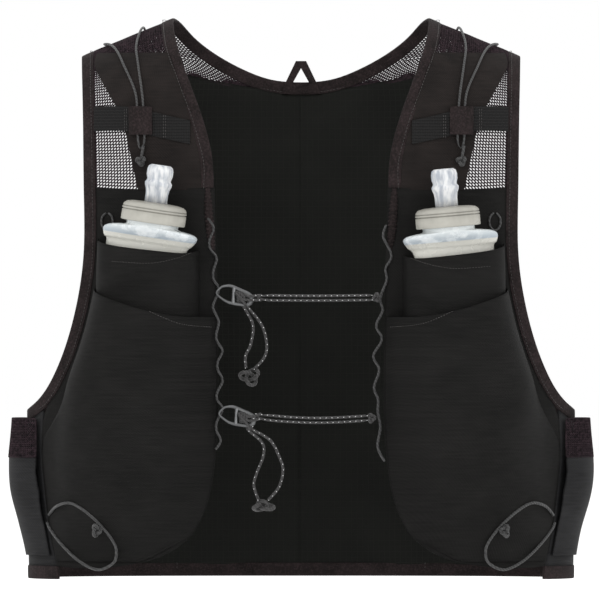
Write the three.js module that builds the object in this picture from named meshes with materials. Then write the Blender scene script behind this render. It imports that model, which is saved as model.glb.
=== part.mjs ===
// Running hydration vest, as worn: two mesh shoulder straps, stretch front panels with flask pockets and
// lower pockets, side pockets, a solid back panel, corded front fastening and two soft flasks.
// Millimetres, +Z up, front towards -Y. The origin is on the shoulder line, where the vest hangs.
import * as THREE from 'three';

// Body of the vest
const torsoHalf = 213;       // half width at the side seams
const torsoDepth = 75;       // half depth of the hollow for the torso
const torsoSquare = 3;       // how square its plan is
const vestDrop = 424;        // from the origin down to the back hem
const neckHalf = 100.5;      // half width of the neck opening on the shoulder line
const ridgeRise = 14.5;      // height of the shoulder line there
const ridgeSlope = 0.43;     // its fall towards the arm
const crownDrop = 75;        // height over which the shoulders round off
const crownArc = 105;        // length of cloth over that height

// Cloth and tape
const cloth = 1.4;           // front, side and back panels
const netWall = 1.2;         // shoulder and side mesh
const pocketWall = 1.2;      // stretch pocket walls
const seamGap = 0.3;         // between two pieces that are sewn together
const layGap = 0.6;          // between two layers that lie on each other
const tapeWidth = 10;        // neck and armhole binding
const tapeWall = 3;
const hemWidth = 10.5;

// Webbing and cords
const webWidth = 18.7;
const webWall = 1.5;
const keeperWidth = 18;
const keeperHeight = 21;
const keeperWall = 1.2;
const shoulderCord = 2;
const laceCord = 2.2;
const chestCord = 2.3;
const poleCord = 2.2;
const strandPitch = 3.6;     // between the two strands of a chest cord
const knotSize = 8;
const clipLength = 29;
const clipHeight = 15;
const clipWall = 2;
const clipRim = 2.6;

// Soft flasks
const capRadius = 25.2;
const capHeight = 15;
const neckRadius = 20;
const valveRadius = 9.4;
const valveHeight = 29;
const flaskHalf = 38;        // half width at the shoulder
const flaskDeep = 15;        // half depth
const flaskLength = 162;
const flaskBend = 0.42;      // share of its lean that the body keeps inside the pocket
const flaskStandoff = 18.5;  // flask axis from the panel behind it
const capStandoff = 27.5;    // cap axis from the panel behind it

// Pockets
const flaskPocketDeep = 34;
const lowerPocketDeep = 34;
const lowerPocketSlack = 9;
const sidePocketDeep = 11;

// Left and right in the picture. Flask places are shares of torsoHalf and vestDrop.
const sides = [
  { name: 'L', sign: -1, lean: 8.5, flaskAcross: 0.54, flaskDown: 0.346, mouthDrop: 0 },
  { name: 'R', sign: 1, lean: 5, flaskAcross: 0.537, flaskDown: 0.354, mouthDrop: 4 },
];

const cloths = {
  ripstop: [0x23261f, 0.8, 0],
  stretch: [0x26262b, 0.85, 0],
  sideStretch: [0x35363b, 0.85, 0],
  net: [0x2b2426, 0.9, 0],
  binding: [0x2f2725, 0.85, 0],
  webbing: [0x3a3a3e, 0.8, 0],
  cord: [0x6d6e72, 0.75, 0],
  darkCord: [0x3b3b3f, 0.75, 0],
  clip: [0x8f9296, 0.4, 0.7],
  film: [0xbfd0dc, 0.3, 0],
  cap: [0x9a8f84, 0.5, 0],
  silicone: [0xe6ecee, 0.35, 0],
};

const vest = new THREE.Group();

function addPiece(name, geometry, kind) {
  const [color, roughness, metalness] = cloths[kind];
  const mesh = new THREE.Mesh(geometry, new THREE.MeshStandardMaterial({ color, roughness, metalness }));
  mesh.name = name;
  vest.add(mesh);
  return mesh;
}

function table(columns, rows) {
  return rows.map((row) => Object.fromEntries(columns.map((column, i) => [column, row[i]])));
}

// Smooth value of one column at a place along another, flat beyond the ends
function readAt(rows, along, value, place) {
  const last = rows.length - 1;
  if (place <= rows[0][along]) return rows[0][value];
  if (place >= rows[last][along]) return rows[last][value];
  const i = rows.findIndex((row) => row[along] > place) - 1;
  const [a, b] = [rows[i], rows[i + 1]];
  const span = b[along] - a[along];
  const slope = (k) => {
    const [p, q] = [rows[Math.max(0, k - 1)], rows[Math.min(last, k + 1)]];
    return (q[value] - p[value]) / (q[along] - p[along]);
  };
  const f = (place - a[along]) / span;
  const rise = b[value] - a[value];
  const start = slope(i) * span;
  const end = slope(i + 1) * span;
  return a[value] + f * (start + f * ((3 * rise - 2 * start - end) + f * (start + end - 2 * rise)));
}

// The draped surface. turn is the angle round the torso from the front middle, fall the length of
// cloth from the shoulder line: negative down the front, positive down the back.
function ridgeAt(x) {
  return ridgeRise - ridgeSlope * (Math.abs(x) - neckHalf);
}

function drape(turn, fall) {
  const crown = Math.min(1, Math.abs(fall) / crownArc) * Math.PI / 2;
  const drop = crownDrop * (1 - Math.cos(crown)) + Math.max(0, Math.abs(fall) - crownArc);
  const x = torsoHalf * Math.sin(turn);
  const plan = Math.sqrt(Math.max(0, 1 - Math.abs(Math.sin(turn)) ** torsoSquare));
  const front = Math.sign(fall) * (Math.cos(turn) < 0 ? -1 : 1);
  return new THREE.Vector3(x, front * torsoDepth * plan * Math.sin(crown), ridgeAt(x) - drop);
}

function lie(turn, fall) {
  const step = 1e-3;
  const alongTurn = drape(turn + step, fall).sub(drape(turn - step, fall)).divideScalar(2 * step);
  const length = step * torsoHalf;
  const alongFall = drape(turn, fall + length).sub(drape(turn, fall - length)).divideScalar(2 * length);
  const normal = new THREE.Vector3().crossVectors(alongTurn, alongFall).normalize();
  const point = drape(turn, fall);
  const outward = new THREE.Vector3(point.x, point.y, vestDrop / 4);
  if (normal.dot(outward) < 0) normal.negate();
  return { turn, fall, point, normal, alongTurn, alongFall };
}

function off(place, distance) {
  return place.point.clone().addScaledVector(place.normal, distance);
}

// A place given by its distance from the middle and its height, on the front or the back
function placeAt(x, z, back = false) {
  const turn = Math.asin(Math.min(1, Math.abs(x) / torsoHalf));
  const drop = Math.max(0, ridgeAt(x) - z);
  const curved = crownArc * Math.acos(Math.max(0, 1 - drop / crownDrop)) / (Math.PI / 2);
  const fall = drop <= crownDrop ? curved : crownArc + drop - crownDrop;
  return { turn, fall: back ? fall : -fall };
}

function lieAt(x, z, back = false) {
  const place = placeAt(x, z, back);
  return lie(place.turn * Math.sign(x || 1), place.fall);
}

// Places with even spacing along a smooth edge through a table's rows
function edgePlaces(rows, count, back = false, round = false) {
  const knots = rows.map((row) => {
    const place = placeAt(row.across * torsoHalf, -row.down * vestDrop, row.back ?? back);
    const behind = round && place.fall > 0;
    const turn = behind ? Math.PI - place.turn : place.turn;
    return new THREE.Vector3(turn * torsoHalf, behind ? -place.fall : place.fall, 0);
  });
  const curve = new THREE.CatmullRomCurve3(knots, false, 'centripetal');
  return curve.getSpacedPoints(count).map((knot) => lie(knot.x / torsoHalf, knot.y));
}

// The place that lies a given distance inside an edge, measured square to it on the cloth
function inset(places, index, distance, closed = false) {
  const count = places.length;
  const before = closed ? (index + count - 1) % count : Math.max(0, index - 1);
  const after = closed ? (index + 1) % count : Math.min(count - 1, index + 1);
  const here = places[index];
  const along = places[after].point.clone().sub(places[before].point);
  const inward = new THREE.Vector3().crossVectors(here.normal, along).normalize().multiplyScalar(distance);
  const [tt, tf, ff] = [
    here.alongTurn.dot(here.alongTurn), here.alongTurn.dot(here.alongFall), here.alongFall.dot(here.alongFall),
  ];
  const [rt, rf] = [here.alongTurn.dot(inward), here.alongFall.dot(inward)];
  const det = tt * ff - tf * tf;
  return lie(here.turn + (rt * ff - rf * tf) / det, here.fall + (rf * tt - rt * tf) / det);
}

function mirrored(place) {
  return lie(-place.turn, place.fall);
}

// Closed solids
function closedSolid(points, faces) {
  const geometry = new THREE.BufferGeometry();
  let volume = 0;
  const [ab, ac] = [new THREE.Vector3(), new THREE.Vector3()];
  faces.forEach(([a, b, c]) => {
    ab.copy(points[b]);
    ac.copy(points[c]);
    volume += points[a].dot(ab.cross(ac));
  });
  const turned = volume < 0 ? faces.map(([a, b, c]) => [a, c, b]) : faces;
  geometry.setAttribute('position', new THREE.Float32BufferAttribute(points.flatMap((p) => p.toArray()), 3));
  geometry.setIndex(turned.flat());
  return geometry.toNonIndexed();
}

// A sheet between two grids of points, one for each of its faces
function sheetSolid(low, high) {
  const rows = low.length;
  const columns = low[0].length;
  const points = [...low.flat(), ...high.flat()];
  const upper = rows * columns;
  const faces = [];
  const quad = (a, b, c, d) => faces.push([a, b, c], [a, c, d]);
  for (let j = 0; j < rows - 1; j += 1) {
    for (let i = 0; i < columns - 1; i += 1) {
      const a = j * columns + i;
      quad(a, a + columns, a + columns + 1, a + 1);
      quad(upper + a, upper + a + 1, upper + a + columns + 1, upper + a + columns);
    }
  }
  const rim = [];
  for (let i = 0; i < columns - 1; i += 1) rim.push(i);
  for (let j = 0; j < rows - 1; j += 1) rim.push(j * columns + columns - 1);
  for (let i = columns - 1; i > 0; i -= 1) rim.push((rows - 1) * columns + i);
  for (let j = rows - 1; j > 0; j -= 1) rim.push(j * columns);
  rim.forEach((a, k) => {
    const b = rim[(k + 1) % rim.length];
    quad(a, b, upper + b, upper + a);
  });
  return closedSolid(points, faces);
}

// A panel through rows of places, from one height above the drape to another
function panel(rows, lowAt, highAt) {
  const low = rows.map((row, j) => row.map((place, i) => off(place, lowAt(place, i, j))));
  const high = rows.map((row, j) => row.map((place, i) => off(place, highAt(place, i, j))));
  return sheetSolid(low, high);
}

// Rings of points closed round, capped at both ends or joined end to end
function ringSolid(rings, joined = false) {
  const round = rings[0].length;
  const points = rings.flat();
  const faces = [];
  const spans = joined ? rings.length : rings.length - 1;
  for (let j = 0; j < spans; j += 1) {
    const [here, next] = [j * round, ((j + 1) % rings.length) * round];
    for (let i = 0; i < round; i += 1) {
      const k = (i + 1) % round;
      faces.push([here + i, here + k, next + k], [here + i, next + k, next + i]);
    }
  }
  if (!joined) {
    const end = (rings.length - 1) * round;
    for (let i = 1; i < round - 1; i += 1) faces.push([0, i + 1, i], [end, end + i, end + i + 1]);
  }
  return closedSolid(points, faces);
}

function between(from, to, f) {
  return lie(from.turn + (to.turn - from.turn) * f, from.fall + (to.fall - from.fall) * f);
}

// The place at the same height, further round the front or, past a right angle, on the back
function levelWith(place, turn) {
  const rise = ridgeAt(torsoHalf * Math.sin(turn)) - ridgeAt(torsoHalf * Math.sin(place.turn));
  return lie(turn, place.fall - rise);
}

function ruled(from, to, count) {
  const row = [];
  for (let i = 0; i <= count; i += 1) row.push(between(from, to, i / count));
  return row;
}

function tube(points, thickness, steps) {
  const section = new THREE.Shape();
  const corners = 8;
  for (let i = 0; i < corners; i += 1) {
    const angle = 2 * Math.PI * i / corners;
    const at = [Math.cos(angle) * thickness / 2, Math.sin(angle) * thickness / 2];
    if (i === 0) section.moveTo(...at);
    else section.lineTo(...at);
  }
  const extrudePath = new THREE.CatmullRomCurve3(points, false, 'centripetal');
  return new THREE.ExtrudeGeometry(section, { steps, extrudePath, bevelEnabled: false });
}

// Edges of the vest, as shares of torsoHalf across and vestDrop down
const neckFront = table(['across', 'down'], [
  [0.318, 0.2805], [0.316, 0.243], [0.329, 0.205], [0.369, 0.136], [0.413, 0.077], [0.458, 0.012],
  [neckHalf / torsoHalf, -ridgeRise / vestDrop],
]);
const neckBack = table(['across', 'down'], [
  [neckHalf / torsoHalf, -ridgeRise / vestDrop], [0.413, -0.009], [0.371, 0.012], [0.282, 0.04],
  [0.193, 0.0625], [0.141, 0.0725],
]);
const neckMiddle = table(['across', 'down'], [[0.141, 0.0725], [0.07, 0.079], [0, 0.0805]]);
const armTop = (ridgeSlope * (0.805 * torsoHalf - neckHalf) - ridgeRise) / vestDrop;
const armFront = table(['across', 'down'], [
  [0.793, 0.2805], [0.794, 0.21], [0.796, 0.137], [0.8, 0.085], [0.805, armTop],
]);
const armBack = table(['across', 'down'], [[0.805, armTop], [0.785, 0.047], [0.756, 0.061]]);
const armRear = table(['across', 'down', 'back'], [
  [0.756, 0.061, true], [0.7, 0.097, true], [0.643, 0.137, true], [0.608, 0.184, true],
  [0.582, 0.238, true], [0.577, 0.281, true], [0.592, 0.401, true], [0.657, 0.519, true],
  [0.765, 0.608, true], [0.883, 0.663, true], [0.958, 0.6815, true],
]);
const armUnder = table(['across', 'down', 'back'], [
  [0.958, 0.6815, true], [0.988, 0.6865, true], [1, 0.6885, false], [0.988, 0.683, false],
  [0.958, 0.67, false],
]);
const armLower = table(['across', 'down'], [
  [0.958, 0.67], [0.92, 0.644], [0.862, 0.578], [0.815, 0.488], [0.791, 0.401], [0.793, 0.2805],
]);
const sideSeam = table(['down', 'across'], [
  [0.693, 0.958], [0.79, 0.945], [0.881, 0.925], [0.958, 0.901], [0.98, 0.883],
]);
const frontEdge = table(['across', 'down'], [
  [0.318, 0.2805], [0.315, 0.354], [0.309, 0.472], [0.305, 0.59], [0.305, 0.724], [0.313, 0.771],
  [0.328, 0.835], [0.352, 0.881], [0.403, 0.927], [0.469, 0.95], [0.568, 0.966], [0.695, 0.976],
]);

const strapRows = 8;
const yokeRows = 5;
const strapColumns = 4;
const rearRows = 8;
const underColumns = 6;
const lowerRows = 8;
const hemTop = 1 - (hemWidth + seamGap) / vestDrop;
const seamShares = [0.76, 0.82, 0.88, 0.93, hemTop];
const frontColumns = 8;

function seamPlace(share, gap, behind) {
  const across = readAt(sideSeam, 'down', 'across', share);
  const place = placeAt(across * torsoHalf, -share * vestDrop);
  const turn = place.turn + gap / (torsoHalf * 0.55);
  return lie(behind ? Math.PI - turn : turn, place.fall);
}

// Everything that one side of the vest shares, worked out at x > 0
function buildEdges() {
  const joined = (...parts) => parts.reduce((all, part) => all.concat(part.slice(all.length ? 1 : 0)), []);
  const arm = joined(
    edgePlaces(armFront, strapRows), edgePlaces(armBack, 2, true), edgePlaces(armRear, rearRows, true, true),
    edgePlaces(armUnder, underColumns, true, true), edgePlaces(armLower, lowerRows),
  );
  arm.pop();
  const neck = joined(edgePlaces(neckFront, strapRows), edgePlaces(neckBack, yokeRows, true));
  const middle = edgePlaces(neckMiddle, 2, true);
  return { arm, neck, middle };
}

const edges = buildEdges();
const across = (side, place) => (side.sign < 0 ? mirrored(place) : place);
const armInset = (index, distance) => inset(edges.arm, index % edges.arm.length, distance, true);
const neckInset = (index, distance) => inset(edges.neck, index, -distance);
const panelInset = tapeWidth + seamGap;
const under = { rear: strapRows + 2 + rearRows, front: strapRows + 2 + rearRows + underColumns };

function tapeSolid(rows, wall, middle) {
  return panel(rows, () => middle - wall / 2, () => middle + wall / 2);
}

// Mesh strap, from the front panel over the shoulder to the back panel
function shoulderMesh(side) {
  const rows = [];
  for (let k = 0; k <= strapRows; k += 1) rows.push(ruled(neckInset(k, panelInset), armInset(k, panelInset), strapColumns));
  for (let k = 1; k <= yokeRows; k += 1) {
    const share = 2 * k / yokeRows;
    const from = armInset(strapRows + Math.floor(share), panelInset);
    const to = armInset(strapRows + Math.min(2, Math.floor(share) + 1), panelInset);
    const outer = between(from, to, share - Math.floor(share));
    rows.push(ruled(neckInset(strapRows + k, panelInset), outer, strapColumns));
  }
  addPiece(`shoulder_mesh_${side.name}`, panel(rows.map((row) => row.map((p) => across(side, p))),
    () => 0.1, () => 0.1 + netWall), 'net');
  return rows[rows.length - 1];
}

function frontPanel(side) {
  const inner = edgePlaces(frontEdge, lowerRows + seamShares.length);
  const rows = [];
  const armPart = edges.arm.length;
  for (let k = 0; k <= lowerRows; k += 1) {
    const outer = armInset(armPart - k, panelInset);
    rows.push(ruled(inner[k], outer, frontColumns));
  }
  seamShares.forEach((share, k) => {
    rows.push(ruled(inner[lowerRows + 1 + k], seamPlace(share, -seamGap / 2, false), frontColumns));
  });
  addPiece(`front_panel_${side.name}`, panel(rows.map((row) => row.map((p) => across(side, p))),
    () => 0, () => cloth), 'stretch');
  return rows;
}


// Back panel, from the mesh yoke to the hem, between the two rear armholes and side seams
function backPanel(yokeSeam) {
  const middle = [2, 1, 0].map((k) => inset(edges.middle, 2 - k, -panelInset));
  const half = [middle[2], middle[1], ...yokeSeam.map((p) => lie(p.turn, p.fall + seamGap))];
  const outerStart = half[half.length - 1];
  const outers = [outerStart];
  for (let k = 1; k <= rearRows; k += 1) {
    const place = armInset(strapRows + 2 + k, panelInset);
    outers.push(lie(Math.PI - place.turn, -place.fall));
  }
  seamShares.forEach((share) => {
    const place = seamPlace(share, -seamGap / 2, false);
    outers.push(lie(place.turn, -place.fall));
  });
  const topTurn = outerStart.turn;
  const rows = outers.map((outer, j) => {
    const fade = Math.max(0, 1 - j / 4);
    const side = half.map((p) => {
      const level = outer.fall + (p.fall - outerStart.fall) * fade;
      const x = torsoHalf * Math.sin(outer.turn * p.turn / topTurn);
      const slant = (ridgeAt(torsoHalf * Math.sin(outer.turn)) - ridgeAt(x)) * (1 - fade);
      return lie(outer.turn * p.turn / topTurn, level - slant);
    });
    return [...side.slice(1).reverse().map(mirrored), ...side];
  });
  addPiece('back_panel', panel(rows, () => 0, () => cloth), 'ripstop');
}

function bindings() {
  const ring = [];
  edges.arm.forEach((place, k) => {
    const outer = place;
    const inner = armInset(k, tapeWidth);
    const base = cloth / 2;
    ring.push([
      off(outer, base - tapeWall / 2), off(outer, base + tapeWall / 2),
      off(inner, base + tapeWall / 2), off(inner, base - tapeWall / 2),
    ]);
  });
  sides.forEach((side) => {
    const rings = ring.map((r) => r.map((p) => new THREE.Vector3(p.x * side.sign, p.y, p.z)));
    addPiece(`armhole_binding_${side.name}`, ringSolid(rings, true), 'binding');
  });
  const half = edges.neck.map((place, k) => [place, neckInset(k, tapeWidth)]);
  const back = [1, 2].map((k) => [edges.middle[k], inset(edges.middle, k, -tapeWidth)]);
  const right = [...half, ...back];
  const left = right.slice(0, -1).map((row) => row.map(mirrored));
  addPiece('neck_binding', tapeSolid([...left, ...right.reverse()], tapeWall, cloth / 2), 'binding');
}

// Side panel, side pocket and the mesh band at the pocket's top
function sidePieces(side) {
  const top = [];
  for (let k = under.front; k >= under.rear; k -= 1) top.push(armInset(k, panelInset));
  const start = -top[0].point.z / vestDrop;
  const rowsFor = (shares, gap) => shares.map((share) => {
    const [front, rear] = [seamPlace(share, gap, false), seamPlace(share, gap, true)];
    return top.map((p, i) => {
      const f = i / (top.length - 1);
      return levelWith(front, front.turn + (rear.turn - front.turn) * f);
    });
  });
  const place = (rows) => rows.map((row) => row.map((p) => across(side, p)));
  const body = [top, ...rowsFor(seamShares, seamGap / 2)];
  addPiece(`side_panel_${side.name}`, panel(place(body), () => 0, () => cloth), 'sideStretch');
  const swell = (share) => readAt(table(['down', 'deep'], [
    [0.72, 0.95], [0.76, 1], [0.82, 0.85], [0.9, 0.3], [0.955, 0],
  ]), 'down', 'deep', share);
  const round = (i) => Math.sin(Math.PI * i / (top.length - 1)) ** 0.5;
  const wall = (shares, name, thickness, kind) => {
    const rows = place(rowsFor(shares, 2));
    const low = (p, i, j) => cloth + layGap + sidePocketDeep * swell(shares[j]) * round(i);
    addPiece(name, panel(rows, low, (p, i, j) => low(p, i, j) + thickness), kind);
  };
  const band = seamGap / 2 / vestDrop;
  wall([start + 0.016, 0.745, 0.772 - band], `side_mesh_${side.name}`, netWall, 'net');
  wall([0.772 + band, 0.81, 0.85, 0.89, 0.92, 0.955], `side_pocket_${side.name}`, pocketWall, 'sideStretch');
}

function hemBinding() {
  const turns = 9;
  const places = [];
  const side = (share, k) => {
    const f = k / underColumns;
    const [front, rear] = [seamPlace(share, 0, false), seamPlace(share, 0, true)];
    return levelWith(front, front.turn + (rear.turn - front.turn) * f);
  };
  for (let k = 0; k <= underColumns; k += 1) places.push([side(hemTop + seamGap / vestDrop, k), side(1, k)]);
  const edge = places[underColumns];
  for (let k = 1; k <= turns; k += 1) {
    places.push(edge.map((p) => levelWith(p, p.turn + (Math.PI - p.turn) * k / turns)));
  }
  const rest = places.slice(0, -1).map((row) => row.map((p) => lie(-p.turn, p.fall)));
  addPiece('hem_binding', tapeSolid([...places, ...rest.reverse()], tapeWall, cloth / 2), 'binding');
}

const flaskPocketTop = table(['place', 'down'], [
  [0, 0.395], [0.15, 0.401], [0.5, 0.393], [0.75, 0.384], [1, 0.372],
]);
const lowerPocketTop = table(['place', 'down'], [
  [0, 0.517], [0.25, 0.516], [0.5, 0.504], [0.75, 0.484], [1, 0.463],
]);
const lowerFoot = 0.966;
const flaskPocketEdges = { inner: 0.371, bottom: 0.775 };
const bumpFall = table(['down', 'deep'], [
  [0.5, 1], [0.66, 1], [0.72, 0.86], [0.79, 0.52], [0.86, 0.2], [0.94, 0],
]);

function armLineAt(z) {
  const rows = armLower.map((row) => ({ down: row.down, across: row.across })).reverse();
  return readAt(rows, 'down', 'across', -z / vestDrop) * torsoHalf;
}

function frontLineAt(z) {
  const rows = frontEdge.filter((row, k) => k < frontEdge.length - 1);
  return readAt(rows, 'down', 'across', -z / vestDrop) * torsoHalf;
}

// Middle of the flask at a height: it leans less inside its pocket than above
function flaskLineAt(side, z) {
  const below = -z - side.flaskDown * vestDrop;
  return side.flaskAcross * torsoHalf + below * flaskBend * Math.tan(side.lean * Math.PI / 180);
}

// How far a wall stands out over the flask, square to the panel: full at its middle, none at its seams
function bump(x, middle, inner, outer) {
  if (x <= inner || x >= outer) return 0;
  const w = x < middle ? (middle - x) / (middle - inner) : (x - middle) / (outer - middle);
  return (1 - w ** 3.5) ** 0.55;
}

function flaskPocketHeight(side, x, z) {
  const inner = flaskPocketEdges.inner * torsoHalf;
  const outer = flaskPocketOuter(z);
  const bottom = flaskPocketEdges.bottom * vestDrop;
  const close = Math.min(1, Math.max(0, (bottom + z) / flaskPocketDeep));
  const shut = Math.sqrt(1 - (1 - close) ** 2);
  return flaskPocketDeep * shut * bump(x, flaskLineAt(side, z), inner, outer);
}

function flaskPocketOuter(z) {
  return armLineAt(Math.max(z, -0.42 * vestDrop)) - panelInset - 1.5;
}

function flaskPocket(side) {
  const rows = [];
  const columns = 10;
  const count = 7;
  for (let j = 0; j <= count; j += 1) {
    const row = [];
    for (let i = 0; i <= columns; i += 1) {
      const u = i / columns;
      const top = readAt(flaskPocketTop, 'place', 'down', u) * vestDrop + side.mouthDrop;
      const z = -(top + (flaskPocketEdges.bottom * vestDrop - top) * j / count);
      const [inner, outer] = [flaskPocketEdges.inner * torsoHalf, flaskPocketOuter(z)];
      const x = inner + (outer - inner) * (1 - Math.cos(Math.PI * u)) / 2 * 0.6 + (outer - inner) * u * 0.4;
      row.push({ ...lieAt(x, z), x, z });
    }
    rows.push(row);
  }
  const height = (p) => cloth + layGap + flaskPocketHeight(side, p.x, p.z);
  sideSheet(`flask_pocket_${side.name}`, side, rows, height, pocketWall);
}

function sideSheet(name, side, rows, height, wall, kind = 'stretch') {
  const at = (distance) => rows.map((row) => row.map((p, i) => {
    const point = off(p, height(p) + distance);
    point.x *= side.sign;
    return point;
  }));
  addPiece(name, sheetSolid(at(0), at(wall)), kind);
}

// Height of the lower pocket's inner face above the drape
function lowerPocketHeight(side, x, z) {
  const [inner, outer] = [lowerInner(z), lowerOuter(z)];
  const u = Math.min(1, Math.max(0, (x - inner) / (outer - inner)));
  const sewn = (1 - Math.abs(2 * u - 1) ** 3.2);
  const share = -z / vestDrop;
  const foot = Math.min(1, Math.max(0, (lowerFoot - share) / 0.08));
  const slack = lowerPocketSlack * sewn * Math.sqrt(foot * (2 - foot));
  const middle = flaskLineAt(side, z);
  const reach = Math.min(outer - 3, middle + 58);
  const over = lowerPocketDeep * readAt(bumpFall, 'down', 'deep', share) * bump(x, middle, inner + 7, reach);
  return cloth + layGap + slack + over;
}

function lowerInner(z) {
  return frontLineAt(z) + 1;
}

function lowerOuter(z) {
  const share = -z / vestDrop;
  const seam = readAt(sideSeam, 'down', 'across', share) * torsoHalf - 2;
  const level = Math.max(z, -0.655 * vestDrop);
  const slope = (armLineAt(level - tapeWidth / 2) - armLineAt(level + tapeWidth / 2)) / tapeWidth;
  const arm = armLineAt(level) - (panelInset + 1) * Math.sqrt(1 + slope ** 2);
  const past = Math.min(1, Math.max(0, (share - 0.695) / 0.015));
  return arm + (seam - arm) * past;
}

function lowerPocket(side) {
  const rows = [];
  const columns = 11;
  const count = 9;
  for (let j = 0; j <= count; j += 1) {
    const row = [];
    for (let i = 0; i <= columns; i += 1) {
      const u = i / columns;
      const top = readAt(lowerPocketTop, 'place', 'down', u) * vestDrop;
      const z = -(top + (lowerFoot * vestDrop - top) * j / count);
      const [inner, outer] = [lowerInner(z), lowerOuter(z)];
      const x = inner + (outer - inner) * u;
      row.push({ ...lieAt(x, z), x, z });
    }
    rows.push(row);
  }
  const height = (p) => lowerPocketHeight(side, p.x, p.z);
  sideSheet(`front_pocket_${side.name}`, side, rows, height, pocketWall);
}

// Soft flask: body, cap and bite valve on one leaning axis, told from the cap's lower edge
const flaskSections = table(['place', 'width', 'depth', 'cap'], [
  [0.002, neckRadius / flaskHalf, neckRadius / flaskDeep, 1],
  [0.022, neckRadius / flaskHalf, neckRadius / flaskDeep, 1],
  [0.03, 0.93, 1.15, 0.95], [0.05, 0.95, 1.08, 0.8], [0.08, 0.82, 0.93, 0.4], [0.12, 0.8, 0.9, 0.05],
  [0.3, 0.8, 0.95, 0], [0.8, 0.76, 0.82, -0.1], [0.94, 0.62, 0.5, -0.45], [1, 0.42, 0.2, -0.6],
]);
const valveProfile = table(['out', 'up'], [
  [0, 0], [0.96, 0], [0.96, 0.1], [0.74, 0.18], [0.76, 0.3], [1.08, 0.45], [1.1, 0.58], [0.9, 0.7],
  [1, 0.86], [0.98, 0.96], [0.8, 1], [0, 1],
]);
const capProfile = table(['out', 'up'], [
  [0, 0], [0.97, 0], [1, 0.06], [1, 0.4], [0.965, 0.44], [0.965, 0.54], [1, 0.58], [1, 0.84], [0.93, 0.97],
  [0, 1],
]);

function flaskFrame(side) {
  const base = lieAt(side.flaskAcross * torsoHalf, -side.flaskDown * vestDrop);
  const level = new THREE.Vector3(0, 0, 1);
  const lateral = new THREE.Vector3().crossVectors(base.normal, level).normalize();
  if (lateral.x < 0) lateral.negate();
  const lean = side.lean * Math.PI / 180;
  const up = level.clone().multiplyScalar(Math.cos(lean)).addScaledVector(lateral, -Math.sin(lean));
  const right = lateral.clone().multiplyScalar(Math.cos(lean)).addScaledVector(level, Math.sin(lean));
  return (x, y, z) => {
    const point = base.point.clone().addScaledVector(right, x).addScaledVector(base.normal, y);
    point.addScaledVector(up, z);
    point.x *= side.sign;
    return point;
  };
}

function lathed(profile, radius, height, from, standoff, frame, corners) {
  const rings = profile.filter((row) => row.out > 0).map((row) => {
    const ring = [];
    for (let i = 0; i < corners; i += 1) {
      const angle = 2 * Math.PI * i / corners;
      const [x, y] = [Math.cos(angle), Math.sin(angle)].map((c) => c * radius * row.out);
      ring.push(frame(x, standoff + y, from + row.up * height));
    }
    return ring;
  });
  return ringSolid(rings);
}

function flask(side) {
  const frame = flaskFrame(side);
  const corners = 12;
  const rings = flaskSections.map((row) => {
    const standoff = flaskStandoff + (capStandoff - flaskStandoff) * row.cap;
    const below = flaskLength * Math.max(0, row.place - 0.08);
    const drift = -below * (1 - flaskBend) * Math.tan(side.lean * Math.PI / 180);
    const ring = [];
    for (let i = 0; i < corners; i += 1) {
      const angle = 2 * Math.PI * (i + 0.5) / corners;
      const x = Math.cos(angle) * flaskHalf * row.width + drift;
      const y = Math.sin(angle) * flaskDeep * row.depth;
      ring.push(frame(x, standoff + y, -row.place * flaskLength));
    }
    return ring;
  });
  addPiece(`flask_body_${side.name}`, ringSolid(rings), 'film');
  const cap = lathed(capProfile, capRadius, capHeight, 0, capStandoff, frame, 16);
  addPiece(`flask_cap_${side.name}`, cap, 'cap');
  const valve = lathed(valveProfile, valveRadius, valveHeight, capHeight + seamGap, capStandoff, frame, 10);
  addPiece(`bite_valve_${side.name}`, valve, 'silicone');
}

// Webbing across each strap, its keeper, and the two legs of cord that it holds over the shoulder
const netTop = 0.1 + netWall;
const clearGap = 0.35;
const webPath = table(['across', 'down'], [
  [0.418, 0.1785], [0.505, 0.168], [0.61, 0.155], [0.68, 0.1535], [0.738, 0.155],
]);
const keeperAcross = 0.582;
const keeperColumns = table(['along', 'high'], [[-1, 0], [-0.62, 1], [0, 1], [0.62, 1], [1, 0]]);
const shoulderLegs = table(['across', 'fall', 'high'], [
  [0.692, 28, 0], [0.723, 0, 0], [0.676, -30, 0], [0.638, -58, 0], [0.606, -76, 0], [0.592, -86, 1],
  [0.592, -108, 1], [0.593, -121, 0], [0.581, -127, 0], [0.568, -121, 0], [0.567, -108, 1], [0.572, -86, 1],
  [0.586, -68, 0], [0.6, -42, 0], [0.575, 0, 0], [0.565, 30, 0], [0.558, 56, 0],
]);

// Rows of a table with more rows put evenly between them
function closer(rows, times) {
  const all = [];
  rows.slice(0, -1).forEach((row, k) => {
    for (let i = 0; i < times; i += 1) {
      all.push(Object.fromEntries(Object.keys(row).map((key) => [
        key, row[key] + (rows[k + 1][key] - row[key]) * i / times,
      ])));
    }
  });
  return [...all, rows[rows.length - 1]];
}

function onSide(side, across, fall, height) {
  const point = off(lie(Math.asin(across), fall), height);
  point.x *= side.sign;
  return point;
}

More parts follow.
